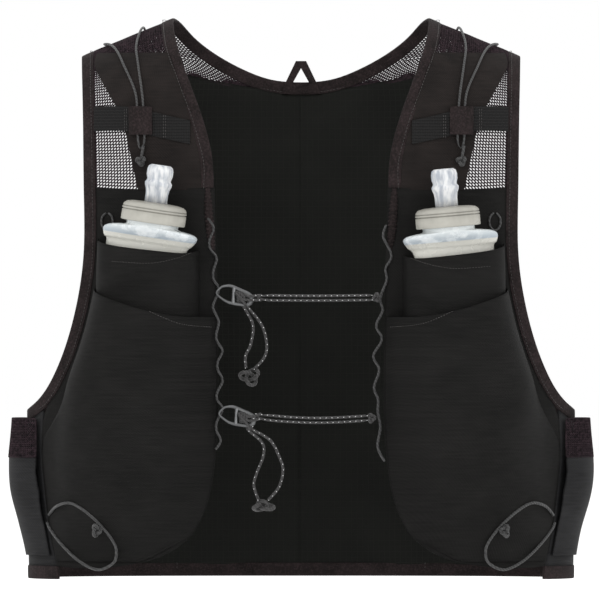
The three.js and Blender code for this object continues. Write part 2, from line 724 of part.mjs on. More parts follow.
function strapParts(side) {
  const columns = 9;
  const [from, to] = [webPath[0].across, webPath[webPath.length - 1].across];
  const rows = [];
  for (let i = 0; i <= columns; i += 1) {
    const share = from + (to - from) * i / columns;
    const middle = -readAt(webPath, 'across', 'down', share) * vestDrop;
    rows.push([1, 0, -1].map((k) => lieAt(share * torsoHalf, middle + k * webWidth / 2)));
  }
  const base = netTop + layGap;
  sideSheet(`webbing_${side.name}`, side, rows, () => base, webWall, 'webbing');
  const keeper = keeperColumns.map((row) => [-1, 0, 1].map((k) => {
    const share = keeperAcross + row.along * keeperWidth / 2 / torsoHalf;
    const middle = -readAt(webPath, 'across', 'down', keeperAcross) * vestDrop;
    const high = base + webWall + clearGap + (clearGap + shoulderCord + 0.5) * row.high;
    return { ...lieAt(share * torsoHalf, middle + k * keeperHeight / 2), high };
  }));
  sideSheet(`keeper_${side.name}`, side, keeper, (p) => p.high, keeperWall, 'binding');
  const low = netTop + clearGap + shoulderCord / 2 + 0.5;
  const points = closer(shoulderLegs, 2).map((row) => onSide(side, row.across, row.fall, low + row.high * (webWall + 0.5)));
  addPiece(`shoulder_cord_${side.name}`, tube(points, shoulderCord, 34), 'cord');
  const turn = shoulderLegs.findIndex((row) => row.fall === Math.min(...shoulderLegs.map((leg) => leg.fall)));
  const below = shoulderLegs[turn].fall - shoulderCord / 2 - clearGap - knotSize / 2;
  knot(`shoulder_knot_${side.name}`, onSide(side, shoulderLegs[turn].across, below, netTop + 0.2 + knotSize * 0.4),
    [knotSize, knotSize * 0.8, knotSize], 'cord');
}

function knot(name, center, size, kind) {
  const ball = new THREE.SphereGeometry(0.5, 8, 6);
  ball.scale(...size);
  const mesh = addPiece(name, ball, kind);
  mesh.position.copy(center);
}

// Lace along the inner edge of each front panel
const laceRoutes = {
  L: table(['across', 'down'], [
    [0.341, 0.335], [0.315, 0.355], [0.333, 0.373], [0.333, 0.392], [0.304, 0.408], [0.319, 0.429],
    [0.319, 0.451], [0.297, 0.462], [0.311, 0.484], [0.322, 0.499], [0.297, 0.526], [0.308, 0.545],
    [0.308, 0.561], [0.282, 0.579], [0.304, 0.598], [0.304, 0.614], [0.282, 0.633], [0.304, 0.653],
    [0.308, 0.67], [0.282, 0.682], [0.308, 0.71], [0.308, 0.727], [0.289, 0.743], [0.311, 0.76],
  ]),
  R: table(['across', 'down'], [
    [0.311, 0.348], [0.297, 0.368], [0.326, 0.396], [0.33, 0.41], [0.304, 0.429], [0.315, 0.445],
    [0.297, 0.469], [0.286, 0.489], [0.3, 0.502], [0.271, 0.535], [0.297, 0.556], [0.26, 0.591],
    [0.286, 0.611], [0.264, 0.649], [0.282, 0.668], [0.278, 0.688], [0.289, 0.719], [0.278, 0.756],
    [0.304, 0.782],
  ]),
};

function skinHeight(side, x, z) {
  const onPocket = -z / vestDrop > lowerPocketTop[0].down - 0.02;
  return onPocket ? lowerPocketHeight(side, x, z) + pocketWall : cloth;
}

function frontLace(side) {
  const points = laceRoutes[side.name].map((row) => {
    const [x, z] = [row.across * torsoHalf, -row.down * vestDrop];
    const height = Math.max(cloth, skinHeight(side, x + laceCord, z));
    const point = off(lieAt(x, z), height + clearGap + laceCord / 2);
    point.x *= side.sign;
    return point;
  });
  addPiece(`front_lace_${side.name}`, tube(points, laceCord, 44), 'cord');
}

// Chest fastenings: a pointed clip at the left lace, a doubled cord to a knot at the right one, and
// the cord's two loose ends, knotted together
const fastenings = [
  {
    name: 'upper', clip: [-0.31, 0.492], cord: [-0.1745, 0.4815], knot: [0.275, 0.4815], sag: 0.001, lift: 0.1,
    tails: [
      [[-0.2065, 0.493], [-0.2065, 0.5], [-0.175, 0.532], [-0.184, 0.568], [-0.202, 0.588], [-0.201, 0.6105]],
      [[-0.1925, 0.493], [-0.1925, 0.5], [-0.143, 0.532], [-0.125, 0.568], [-0.135, 0.592], [-0.172, 0.6128]],
    ],
    tailKnot: [-0.186, 0.6265], tailKnotSize: [14, 9, 12],
  },
  {
    name: 'lower', clip: [-0.3, 0.7165], cord: [-0.175, 0.6985], knot: [0.257, 0.702], sag: 0.006, lift: 0.8,
    tails: [
      [[-0.1925, 0.7175], [-0.1925, 0.724], [-0.142, 0.747], [-0.137, 0.771], [-0.161, 0.802],
        [-0.172, 0.826], [-0.155, 0.8525]],
      [[-0.178, 0.7175], [-0.178, 0.723], [-0.112, 0.743], [-0.077, 0.776], [-0.066, 0.798],
        [-0.08, 0.828], [-0.12, 0.8525]],
    ],
    tailKnot: [-0.138, 0.8635], tailKnotSize: [15, 9, 8],
  },
];
const clipOutline = [[0.36, 0], [0.93, 0], [1, 0.16], [0.93, 0.43], [0.39, 1], [0, 0.62]];
const clipHoles = [
  [[0.16, 0.58], [0.36, 0.78], [0.36, 0.22]],
  [[0.46, 0.72], [0.85, 0.37], [0.88, 0.19], [0.46, 0.19]],
];

function chestClip(fastening, plane) {
  const shape = new THREE.Shape(clipOutline.map(([x, y]) => new THREE.Vector2(x * clipLength, y * clipHeight)));
  clipHoles.forEach((hole) => {
    shape.holes.push(new THREE.Path(hole.map(([x, y]) => new THREE.Vector2(x * clipLength, y * clipHeight))));
  });
  const geometry = new THREE.ExtrudeGeometry(shape, { depth: clipWall, bevelEnabled: false });
  geometry.rotateX(Math.PI / 2);
  const mesh = addPiece(`chest_clip_${fastening.name}`, geometry, 'clip');
  const [x, z] = fastening.clip;
  mesh.position.set(x * torsoHalf, plane + clipWall / 2, -z * vestDrop);
}

function chestFastening(fastening) {
  const base = lieAt(0.3 * torsoHalf, -0.5 * vestDrop);
  const high = cloth + layGap + pocketWall + clearGap * 2 + laceCord + clipWall / 2 + fastening.lift;
  const plane = base.point.y - high;
  const at = ([x, z]) => new THREE.Vector3(x * torsoHalf, plane, -z * vestDrop);
  chestClip(fastening, plane);
  const knotRadius = knotSize * 0.42;
  const right = at(fastening.knot);
  right.y -= knotRadius;
  const left = at(fastening.cord);
  const start = right.x - knotRadius - clearGap;
  const half = strandPitch / 2;
  const strand = (sign) => [1, 0.75, 0.5, 0.25, 0.06].map((f) => {
    const x = left.x + (start - left.x) * f;
    const y = left.y + (right.y - left.y) * f;
    const sag = Math.sin(Math.PI * f) * fastening.sag * vestDrop;
    return new THREE.Vector3(x, y, left.z + (right.z - left.z) * f + sign * half * Math.min(1, 2.2 - f) - sag);
  });
  const turn = new THREE.Vector3(left.x + 0.7, left.y, left.z);
  const path = [...strand(1), turn, ...strand(-1).reverse()];
  addPiece(`chest_cord_${fastening.name}`, tube(path, chestCord, 18), 'darkCord');
  knot(`lace_knot_${fastening.name}`, right, [knotRadius * 2, knotRadius * 2, knotSize], 'darkCord');
  fastening.tails.forEach((route, k) => {
    addPiece(`chest_tail_${fastening.name}_${'ab'[k]}`, tube(route.map(at), chestCord, 10), 'darkCord');
  });
  knot(`tail_knot_${fastening.name}`, at(fastening.tailKnot), fastening.tailKnotSize, 'darkCord');
}

// Elastic loop for poles, low on each front panel, with the knot that closes it
const poleRoute = table(['across', 'down'], [
  [0.925, 0.882], [0.895, 0.865], [0.845, 0.8585], [0.79, 0.873], [0.73, 0.9], [0.688, 0.927], [0.674, 0.946],
  [0.685, 0.968], [0.742, 0.981], [0.81, 0.966], [0.875, 0.936], [0.918, 0.909], [0.93, 0.896],
]);
const poleKnot = { across: 0.722, down: 0.913 };

function poleLoop(side) {
  const skin = (x, z) => Math.max(skinHeight(side, x - poleCord, z), skinHeight(side, x, z + poleCord),
    cloth + layGap + pocketWall);
  const at = (row, extra) => {
    const [x, z] = [row.across * torsoHalf, -row.down * vestDrop];
    const point = off(lieAt(x, z), skin(x, z) + clearGap + poleCord / 2 + extra);
    point.x *= side.sign;
    return point;
  };
  addPiece(`pole_loop_${side.name}`, tube(poleRoute.map((row) => at(row, 0.35)), poleCord, 26), 'cord');
  const center = at(poleKnot, poleCord + knotSize * 0.4 + 0.1);
  knot(`pole_knot_${side.name}`, center, [knotSize, knotSize * 0.8, knotSize * 1.3], 'cord');
}

function flaskTether(side) {
  const [x, z] = [0.705, 0.342];
  const points = [];
  for (let k = 0; k <= 10; k += 1) {
    const angle = Math.PI * (0.56 + 1.88 * k / 10);
    const at = lieAt(x * torsoHalf + 4.5 * Math.cos(angle), -z * vestDrop + 7 * Math.sin(angle));
    const point = off(at, cloth + clearGap + 0.9);
    point.x *= side.sign;
    points.push(point);
  }
  addPiece(`flask_tether_${side.name}`, tube(points, 1.8, 12), 'cord');
}

// Hanging loop of folded tape behind the middle of the neck
const hangerLength = 26;
const hangerWidth = 29;
const hangerWall = 1.6;
const hangerOutline = [[0.55, 0], [0.42, 0.35], [0.14, 1], [-0.14, 1], [-0.42, 0.35], [-0.55, 0]];
const hangerHole = [[-0.24, 0.3], [0, 0.78], [0.24, 0.3]];

function hangerLoop() {
  const at = ([x, y]) => new THREE.Vector2(x * hangerWidth, y * hangerLength);
  const shape = new THREE.Shape(hangerOutline.map(at));
  shape.holes.push(new THREE.Path(hangerHole.map(at)));
  const geometry = new THREE.ExtrudeGeometry(shape, { depth: hangerWall, bevelEnabled: false });
  geometry.rotateX(Math.PI / 2);
  const mesh = addPiece('hanger_loop', geometry, 'binding');
  const neck = edges.middle[2];
  const face = neck.point.y + cloth / 2 - tapeWall / 2;
  mesh.position.set(0, face - clearGap, neck.point.z - tapeWidth + 1);
}

let yokeSeam;
sides.forEach((side) => {
  yokeSeam = shoulderMesh(side);
  frontPanel(side);
  sidePieces(side);
  flaskPocket(side);
  lowerPocket(side);
  flask(side);
  strapParts(side);
  frontLace(side);
  poleLoop(side);
  flaskTether(side);
});
fastenings.forEach(chestFastening);
hangerLoop();
backPanel(yokeSeam);
bindings();
hemBinding();

export default vest;
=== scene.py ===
import math

import bmesh
import bpy
import numpy as np
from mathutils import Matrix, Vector


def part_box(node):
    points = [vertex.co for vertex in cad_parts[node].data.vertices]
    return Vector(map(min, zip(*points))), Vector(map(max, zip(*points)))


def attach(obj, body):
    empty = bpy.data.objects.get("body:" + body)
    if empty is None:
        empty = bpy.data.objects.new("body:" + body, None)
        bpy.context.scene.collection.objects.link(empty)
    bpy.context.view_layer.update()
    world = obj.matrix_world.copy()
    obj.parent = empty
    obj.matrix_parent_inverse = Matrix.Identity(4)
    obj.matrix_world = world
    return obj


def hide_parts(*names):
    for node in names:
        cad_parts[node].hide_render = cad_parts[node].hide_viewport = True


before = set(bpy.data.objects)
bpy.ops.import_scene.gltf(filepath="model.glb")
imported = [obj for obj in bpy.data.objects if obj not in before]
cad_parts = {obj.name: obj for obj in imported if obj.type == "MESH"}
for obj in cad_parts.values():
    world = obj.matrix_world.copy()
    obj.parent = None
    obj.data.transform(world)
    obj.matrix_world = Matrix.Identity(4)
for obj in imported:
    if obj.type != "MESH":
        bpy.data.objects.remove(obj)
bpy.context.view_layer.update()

scene = bpy.context.scene
mm = 0.001
sideNames = ("L", "R")
signs = {"L": -1, "R": 1}


def addObject(name, data):
    obj = bpy.data.objects.new(name, data)
    scene.collection.objects.link(obj)
    return obj


# Camera straight at the front, at the height of the middle of the picture
view = {"x": -0.8 * mm, "z": -206 * mm, "away": 9.0, "wide": 468 * mm, "sensor": 36.0, "front": -45 * mm}


def placeCamera():
    data = bpy.data.cameras.new("front_camera")
    data.sensor_width = view["sensor"]
    data.lens = view["sensor"] * (view["away"] + view["front"]) / view["wide"]
    data.clip_end = 20
    camera = addObject("front_camera", data)
    camera.location = (view["x"], -view["away"], view["z"])
    camera.rotation_euler = (math.radians(90), 0, 0)
    scene.camera = camera


def addLight(name, place, size, power, aim):
    data = bpy.data.lights.new(name, "AREA")
    data.shape = "SQUARE"
    data.size = size
    data.energy = power
    light = addObject(name, data)
    light.location = place
    light.rotation_euler = (Vector(aim) - Vector(place)).to_track_quat("-Z", "Y").to_euler()


placeCamera()
scene.view_settings.view_transform = "Standard"
aim = (0, 0, view["z"])
addLight("key_light", (-1.1, -2.2, 1.3), 1.4, 14, aim)
addLight("fill_light", (1.6, -1.9, 0.3), 1.6, 6, aim)
addLight("top_light", (0, 0.3, 2.0), 1.5, 6, aim)
addLight("back_light", (0.2, 2.2, 0.6), 1.6, 4, aim)


# Colours and nodes
def srgb(code):
    parts = [int(code[i:i + 2], 16) / 255 for i in (0, 2, 4)]
    linear = [c / 12.92 if c <= 0.04045 else ((c + 0.055) / 1.055) ** 2.4 for c in parts]
    return (*linear, 1)


def add(tree, kind, inputs=None, **settings):
    node = tree.nodes.new(kind)
    for key, value in settings.items():
        setattr(node, key, value)
    for key, value in (inputs or {}).items():
        if isinstance(value, bpy.types.NodeSocket):
            tree.links.new(value, node.inputs[key])
        else:
            node.inputs[key].default_value = value
    return node


def newMaterial(name, roughness, **values):
    material = bpy.data.materials.new(name)
    material.use_nodes = True
    tree = material.node_tree
    shader = tree.nodes["Principled BSDF"]
    shader.inputs["Roughness"].default_value = roughness
    for key, value in values.items():
        shader.inputs[key.replace("_", " ")].default_value = value
    return material, tree, shader


# Place in mm: on the cloth's own map, or in space
def clothPlace(tree, stretch=(1, 1, 1)):
    chart = add(tree, "ShaderNodeUVMap", uv_map="cloth").outputs[0]
    return add(tree, "ShaderNodeMapping", {"Vector": chart, "Scale": stretch}).outputs[0]


def solidPlace(tree, stretch=(1, 1, 1)):
    chart = add(tree, "ShaderNodeTexCoord").outputs["Object"]
    scale = [1000 * s for s in stretch]
    return add(tree, "ShaderNodeMapping", {"Vector": chart, "Scale": scale}).outputs[0]


def waves(tree, place, pitch, direction="X", distortion=0.0):
    node = add(tree, "ShaderNodeTexWave", {"Vector": place, "Scale": math.pi / 10 / pitch,
                                           "Distortion": distortion}, bands_direction=direction)
    return node.outputs["Fac"]


def cloud(tree, place, size, detail=2.0):
    return add(tree, "ShaderNodeTexNoise", {"Vector": place, "Scale": 1 / size, "Detail": detail}).outputs[0]


def combine(tree, kind, first, second):
    return add(tree, "ShaderNodeMath", {0: first, 1: second}, operation=kind).outputs[0]


def between(tree, value, low, high, first=0.0, last=1.0):
    spread = add(tree, "ShaderNodeMapRange", {"Value": value, "From Min": low, "From Max": high,
                                              "To Min": first, "To Max": last})
    return spread.outputs[0]


# Sockets 6, 7 and output 2 are the mix node's colours
def blend(tree, share, first, last):
    return add(tree, "ShaderNodeMix", {0: share, 6: first, 7: last}, data_type="RGBA").outputs[2]


def bumped(tree, shader, height, depth, strength=1.0):
    node = add(tree, "ShaderNodeBump", {"Height": height, "Distance": depth * mm, "Strength": strength})
    tree.links.new(node.outputs[0], shader.inputs["Normal"])


def colour(tree, shader, socket):
    tree.links.new(socket, shader.inputs["Base Color"])


def shaded(tree, shader, shade, dark, light):
    colour(tree, shader, blend(tree, shade, srgb(dark), srgb(light)))


def weighed(tree, first, much, second, less):
    more = combine(tree, "MULTIPLY", first, much)
    return combine(tree, "ADD", more, combine(tree, "MULTIPLY", second, less))


# Ripstop nylon: a fine square grid of thicker yarns in a close weave
def ripstopCloth(name, dark, light, pitch):
    material, tree, shader = newMaterial(name, 0.62, Specular_IOR_Level=0.14)
    place = clothPlace(tree)
    grid = add(tree, "ShaderNodeTexBrick", {
        "Vector": place, "Scale": 1 / pitch, "Mortar Size": 0.07, "Mortar Smooth": 0.4,
        "Brick Width": 1.0, "Row Height": 1.0, "Color1": (0, 0, 0, 1), "Color2": (0, 0, 0, 1),
        "Mortar": (1, 1, 1, 1),
    }, offset=0.0).outputs[0]
    yarn = combine(tree, "MULTIPLY", waves(tree, place, 0.9), waves(tree, place, 0.9, "Y"))
    patch = cloud(tree, place, 38)
    shade = weighed(tree, grid, 0.55, patch, 0.5)
    shaded(tree, shader, shade, dark, light)
    height = combine(tree, "ADD", grid, combine(tree, "MULTIPLY", yarn, 0.5))
    bumped(tree, shader, height, 0.25, 0.7)
    return material


# Woven stretch cloth: close weave with a faint slub across
def stretchCloth(name, dark, light, slub, rough=0.78):
    material, tree, shader = newMaterial(name, rough, Specular_IOR_Level=0.16)
    place = clothPlace(tree)
    streak = cloud(tree, clothPlace(tree, (0.09, 1.1, 1)), 1.6, 3)
    patch = cloud(tree, place, 30, 3)
    yarn = combine(tree, "MULTIPLY", waves(tree, place, 1.1, "DIAGONAL"), waves(tree, place, 1.0, "Y"))
    slubs = between(tree, streak, 0.35, 0.75, 0, slub)
    shade = combine(tree, "ADD", slubs, between(tree, patch, 0.3, 0.7, 0, 0.35))
    shade = combine(tree, "ADD", shade, combine(tree, "MULTIPLY", yarn, 0.3))
    shaded(tree, shader, shade, dark, light)
    height = combine(tree, "ADD", yarn, combine(tree, "MULTIPLY", streak, 0.8))
    bumped(tree, shader, height, 0.22, 0.6)
    return material


# Knitted elastic binding: small ribs and a soft fleck
def knitTape(name, dark, light):
    material, tree, shader = newMaterial(name, 0.85, Specular_IOR_Level=0.2)
    place = solidPlace(tree)
    loops = add(tree, "ShaderNodeTexVoronoi", {"Vector": place, "Scale": 0.85}).outputs["Distance"]
    fleck = cloud(tree, place, 1.5, 3)
    patch = cloud(tree, place, 18)
    spots = between(tree, fleck, 0.45, 0.7, 0, 0.6)
    shade = combine(tree, "ADD", spots, between(tree, patch, 0.3, 0.7, 0, 0.4))
    shaded(tree, shader, shade, dark, light)
    bumped(tree, shader, combine(tree, "SUBTRACT", fleck, loops), 0.35, 0.7)
    return material


# Woven webbing: ribs along its length, crossed by finer yarns
def ribWebbing(name, dark, light):
    material, tree, shader = newMaterial(name, 0.7, Specular_IOR_Level=0.2)
    place = clothPlace(tree)
    rib = waves(tree, place, 2.3, "Y")
    yarn = waves(tree, place, 1.3)
    shade = weighed(tree, rib, 0.6, yarn, 0.35)
    shaded(tree, shader, shade, dark, light)
    bumped(tree, shader, combine(tree, "ADD", rib, yarn), 0.4, 0.8)
    return material


# Braided elastic cord
def braid(name, dark, light):
    material, tree, shader = newMaterial(name, 0.6, Sheen_Weight=0.15)
    place = solidPlace(tree)
    cells = add(tree, "ShaderNodeTexVoronoi", {"Vector": place, "Scale": 0.9}).outputs["Distance"]
    ply = waves(tree, place, 1.7, "DIAGONAL", 2.0)
    shade = weighed(tree, ply, 0.7, cells, 0.4)
    shaded(tree, shader, shade, dark, light)
    bumped(tree, shader, combine(tree, "ADD", ply, cells), 0.3, 0.8)
    return material


# Moulded plastic or cast metal: fine grain, with worn, lighter edges
def moulded(name, base, edge, rough, metal=0.0):
    material, tree, shader = newMaterial(name, rough, Metallic=metal)
    place = solidPlace(tree)
    fine = cloud(tree, place, 0.7, 2)
    patch = cloud(tree, place, 9)
    wear = between(tree, add(tree, "ShaderNodeNewGeometry").outputs["Pointiness"], 0.5, 0.6)
    shade = combine(tree, "ADD", wear, between(tree, patch, 0.3, 0.8, 0, 0.25))
    shaded(tree, shader, shade, base, edge)
    tree.links.new(between(tree, fine, 0.3, 0.7, rough - 0.08, rough + 0.12), shader.inputs["Roughness"])
    bumped(tree, shader, fine, 0.06, 0.5)
    return material


# Soft flask film: bluish and cloudy round the shoulder, with painted light making its top paler and painted
# shade turning it grey-blue lower down, then a warm white band, by its own map in mm
def flaskFilm(name):
    material, tree, shader = newMaterial(name, 0.2, Transmission_Weight=0.12, IOR=1.35)
    place = solidPlace(tree)
    down = add(tree, "ShaderNodeSeparateXYZ", {"Vector": clothPlace(tree)}).outputs["Y"]
    ripple = cloud(tree, place, 9, 3)
    # Painted light and shade: pale on the shoulder's top, shading to grey-blue lower down it
    shoulderPaintedLight = blend(tree, between(tree, down, 4, 10.5), srgb("dde3e4"), srgb("a9b4bd"))
    shoulderPaintedLight = blend(tree, between(tree, ripple, 0.45, 0.75), shoulderPaintedLight, srgb("eef2f3"))
    colour(tree, shader, blend(tree, between(tree, down, 10.6, 11.2), shoulderPaintedLight, srgb("d2d1c9")))
    tree.links.new(between(tree, ripple, 0.3, 0.7, 0.16, 0.34), shader.inputs["Roughness"])
    bumped(tree, shader, ripple, 1.2, 0.5)
    return material


# Bite valve: milky silicone
def milky(name):
    material, tree, shader = newMaterial(name, 0.32, Transmission_Weight=0.25, Subsurface_Weight=0.3)
    shader.inputs["Subsurface Radius"].default_value = (0.004, 0.004, 0.004)
    place = solidPlace(tree)
    patch = cloud(tree, solidPlace(tree, (1, 1, 0.22)), 3.2, 2)
    shaded(tree, shader, between(tree, patch, 0.35, 0.62), "b9bfc8", "fbfcfc")
    bumped(tree, shader, cloud(tree, place, 2, 1), 0.15, 0.3)
    return material


# Net yarn: matt, twisted
def netYarn(name, dark, light):
    material, tree, shader = newMaterial(name, 0.85, Specular_IOR_Level=0.15)
    place = solidPlace(tree)
    shade = between(tree, cloud(tree, place, 2.4, 2), 0.3, 0.7)
    shaded(tree, shader, shade, dark, light)
    bumped(tree, shader, waves(tree, place, 0.6, "DIAGONAL"), 0.1, 0.5)
    return material


# Painted studio floor
def studioPaint(name):
    material, tree, shader = newMaterial(name, 0.9)
    place = solidPlace(tree)
    shade = between(tree, cloud(tree, place, 160), 0.3, 0.7)
    shaded(tree, shader, shade, "f7f7f7", "ffffff")
    shader.inputs["Emission Color"].default_value = (1, 1, 1, 1)
    shader.inputs["Emission Strength"].default_value = 0.12
    return material


looks = {
    "ripstop": ripstopCloth("ripstop nylon", "080907", "1b1c18", 4.4),
    "stretch": stretchCloth("woven stretch nylon", "080807", "1c1b1a", 0.45),
    "side_stretch": stretchCloth("light stretch nylon", "111112", "2c2c2d", 0.4, 0.7),
    "net": netYarn("net yarn", "130e11", "382c31"),
    "binding": knitTape("knitted elastic binding", "120d0c", "33292a"),
    "webbing": ribWebbing("woven webbing", "0a0a0a", "212020"),
    "cord": braid("braided elastic cord", "171717", "3e3e3e"),
    "dark_cord": braid("braided dark cord", "141313", "3a3939"),
    "clip": moulded("cast grey metal", "262626", "7c7d7e", 0.36, 0.75),
    "film": flaskFilm("flask film"),
    "cap": moulded("moulded warm grey plastic", "7d7b73", "b4b2a9", 0.42),
    "silicone": milky("clear silicone"),
    "lined": stretchCloth("lined mesh", "0e0b0a", "2b2523", 0.3),
    "fleck": moulded("reflective yarn", "9c9c9c", "e8e8e8", 0.4),
    "thread": braid("sewing thread", "1c1a19", "3a3634"),
}
print("materials done")


# Pale studio floor under the vest, and a white surround
studio = {"half": 14.0, "floor": -0.47}


def studioFloor():
    half, level = studio["half"], studio["floor"]
    mesh = bpy.data.meshes.new("studio_floor")
    mesh.from_pydata([(x, y, level) for x, y in ((-half, -half), (half, -half), (half, half), (-half, half))],
                     [], [(0, 1, 2, 3)])
    floor = addObject("studio_floor", mesh)
    mesh.materials.append(studioPaint("studio paint"))
    world = bpy.data.worlds.new("studio_world")
    world.use_nodes = True
    world.node_tree.nodes["Background"].inputs["Color"].default_value = (1, 1, 1, 1)
    world.node_tree.nodes["Background"].inputs["Strength"].default_value = 1.0
    scene.world = world


studioFloor()


# The draped surface that the vest lies on, in mm: a rounded plan and a sloping shoulder line
body = {"half": 213, "deep": 75, "square": 3, "drop": 424, "neck": 100.5, "rise": 14.5, "slope": 0.43,
        "crownDrop": 75, "crownArc": 105}


def ridgeAt(x):
    return body["rise"] - body["slope"] * (abs(x) - body["neck"])


def drape(turn, fall):
    crown = min(1, abs(fall) / body["crownArc"]) * math.pi / 2
    drop = body["crownDrop"] * (1 - math.cos(crown)) + max(0, abs(fall) - body["crownArc"])
    x = body["half"] * math.sin(turn)
    plan = math.sqrt(max(0, 1 - abs(math.sin(turn)) ** body["square"]))
    front = (1 if fall > 0 else -1) * (-1 if math.cos(turn) < 0 else 1)
    return Vector((x, front * body["deep"] * plan * math.sin(crown), ridgeAt(x) - drop))


def slopes(turn, fall):
    step = 1e-3
    length = step * body["half"]
    alongTurn = (drape(turn + step, fall) - drape(turn - step, fall)) / (2 * step)
    alongFall = (drape(turn, fall + length) - drape(turn, fall - length)) / (2 * length)
    normal = alongTurn.cross(alongFall).normalized()
    point = drape(turn, fall)
    if normal.dot(Vector((point.x, point.y, body["drop"] / 4))) < 0:
        normal.negate()
    return point, normal


# From the drape's right half in mm to the row's frame in metres, on the side asked for
def onSide(spot, sign):
    return Vector((spot.x * sign * mm, spot.y * mm, spot.z * mm))


def placeAt(across, down, back=False):
    x, z = abs(across) * body["half"], -down * body["drop"]
    turn = math.asin(min(1, x / body["half"]))
    drop = max(0, ridgeAt(x) - z)
    if drop <= body["crownDrop"]:
        fall = body["crownArc"] * math.acos(1 - drop / body["crownDrop"]) / (math.pi / 2)
    else:
        fall = body["crownArc"] + drop - body["crownDrop"]
    return (math.copysign(turn, across), fall if back else -fall)


def smoothLine(points, count, closed=False):
    total = len(points)
    line = []
    spans = total if closed else total - 1
    for k in range(spans):
        around = range(k - 1, k + 3)
        index = [i % total if closed else min(max(i, 0), total - 1) for i in around]
        p, a, b, q = [Vector(points[i]) for i in index]
        for i in range(count):
            f = i / count
            line.append(0.5 * ((2 * a) + (b - p) * f + (2 * p - 5 * a + 4 * b - q) * f ** 2
                               + (3 * a - p - 3 * b + q) * f ** 3))
    if not closed:
        line.append(Vector(points[-1]))
    return line


# Length round the body from the front middle, by angle
def girthTable():
    turns = np.linspace(0, math.pi, 361)
    x = body["half"] * np.sin(turns)
    plan = np.sqrt(np.clip(1 - np.abs(np.sin(turns)) ** body["square"], 0, 1))
    y = -body["deep"] * plan * np.sign(np.cos(turns))
    angle = np.arctan2(x / body["half"], -y / body["deep"])
    length = np.concatenate([[0], np.cumsum(np.hypot(np.diff(x), np.diff(y)))])
    return angle, length


girthAngle, girthLength = girthTable()


def corners(mesh):
    flat = np.zeros(len(mesh.vertices) * 3)
    mesh.vertices.foreach_get("co", flat)
    return flat.reshape(-1, 3)


def girth(points):
    angle = np.arctan2(np.abs(points[:, 0]) / body["half"] / mm, -points[:, 1] / body["deep"] / mm)
    return np.sign(points[:, 0]) * np.interp(angle, girthAngle, girthLength)


def mapped(mesh, spots):
    index = np.zeros(len(mesh.loops), int)
    mesh.loops.foreach_get("vertex_index", index)
    mesh.uv_layers.new(name="cloth").uv.foreach_set("vector", spots[index].ravel())


# The cloth's own map, in mm: length round the body, and height
def chart(mesh):
    points = corners(mesh)
    mapped(mesh, np.stack([girth(points), points[:, 2] / mm], axis=1))


def outward(points):
    across = 3 * points[:, 0] * np.abs(points[:, 0]) / (body["half"] * mm) ** 3
    deep = 2 * points[:, 1] / (body["deep"] * mm) ** 2
    length = np.hypot(across, deep) + 1e-9
    return np.stack([across / length, deep / length, np.zeros(len(points))], axis=1)


# Rows of folds: x and z of the start and the end, width and height, all in mm
def foldHeight(points, folds):
    x, z = points[:, 0] / mm, points[:, 2] / mm
    total = np.zeros(len(points))
    for ax, az, bx, bz, wide, high in folds:
        dx, dz = bx - ax, bz - az
        along = ((x - ax) * dx + (z - az) * dz) / (dx * dx + dz * dz)
        share = np.clip(along, 0, 1)
        away = np.hypot(x - ax - share * dx, z - az - share * dz)
        ease = 0.35 + 0.65 * np.sin(math.pi * np.clip(share, 0.08, 0.92))
        total += high * np.exp(-(away / wide) ** 2) * ease
    return total


# Slow unevenness of cloth that is worn, in mm
def looseness(points, size):
    x, z = points[:, 0] / mm, points[:, 2] / mm
    return size * (np.sin(x / 17 + z / 29 + 1) * np.sin(z / 23 - x / 41 + 2)
                   + 0.4 * np.sin(x / 7.3 - z / 12.1) * np.sin(z / 9.1 + 0.5))


def evaluated(obj):
    graph = bpy.context.evaluated_depsgraph_get()
    mesh = bpy.data.meshes.new_from_object(obj.evaluated_get(graph), depsgraph=graph)
    old = obj.data
    bpy.data.objects.remove(obj)
    bpy.data.meshes.remove(old)
    return mesh


# CAD faces narrower than rim are the cloth's cut edges; edges sharper than crease, in degrees, stay sharp
mending = {"rim": 2.2 * mm, "merge": 0.02 * mm, "behind": -75 * mm,
           "join": 50, "shape": 60, "crease": 55, "bevel": 35}


def isRim(face):
    return min(edge.calc_length() for edge in face.edges) < mending["rim"]


# A merged copy of a CAD node with its edges kept, rounded where asked, and refined
def refine(node, levels, bevel=0.0, outer=False, rimOnly=True, tuck=0.0):
    work = bmesh.new()
    work.from_mesh(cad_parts[node].data)
    bmesh.ops.remove_doubles(work, verts=work.verts, dist=mending["merge"])
    bmesh.ops.join_triangles(work, faces=work.faces, angle_face_threshold=math.radians(mending["join"]),
                             angle_shape_threshold=math.radians(mending["shape"]))
    work.normal_update()
    if tuck:
        shift = {}
        for face in work.faces:
            if isRim(face):
                for corner in face.verts:
                    shift[corner] = shift.get(corner, Vector()) + face.normal
        for corner, way in shift.items():
            corner.co += way.normalized() * tuck * mm
        work.normal_update()
    if outer:
        inner = []
        for face in work.faces:
            center = face.calc_center_median()
            away = center - Vector((0.6 * center.x, 0, min(center.z, mending["behind"])))
            if isRim(face) or face.normal.dot(away) < 0:
                inner.append(face)
        bmesh.ops.delete(work, geom=inner, context="FACES")
    crease = work.edges.layers.float.new("crease_edge")
    if not bevel:
        for edge in work.edges:
            folded = len(edge.link_faces) == 2 and edge.calc_face_angle() > math.radians(mending["crease"])
            sharp = edge.is_boundary or folded
            edge[crease] = 1.0 if sharp and rimOnly else 0.0
    mesh = bpy.data.meshes.new(node)
    work.to_mesh(mesh)
    work.free()
    obj = addObject("working", mesh)
    if bevel:
        mod = obj.modifiers.new("round", "BEVEL")
        mod.width = bevel * mm
        mod.segments = 2
        mod.limit_method = "ANGLE"
        mod.angle_limit = math.radians(mending["bevel"])
    if levels:
        mod = obj.modifiers.new("refine", "SUBSURF")
        mod.levels = levels
        mod.render_levels = levels
        mod.boundary_smooth = "PRESERVE_CORNERS"
    return evaluated(obj)


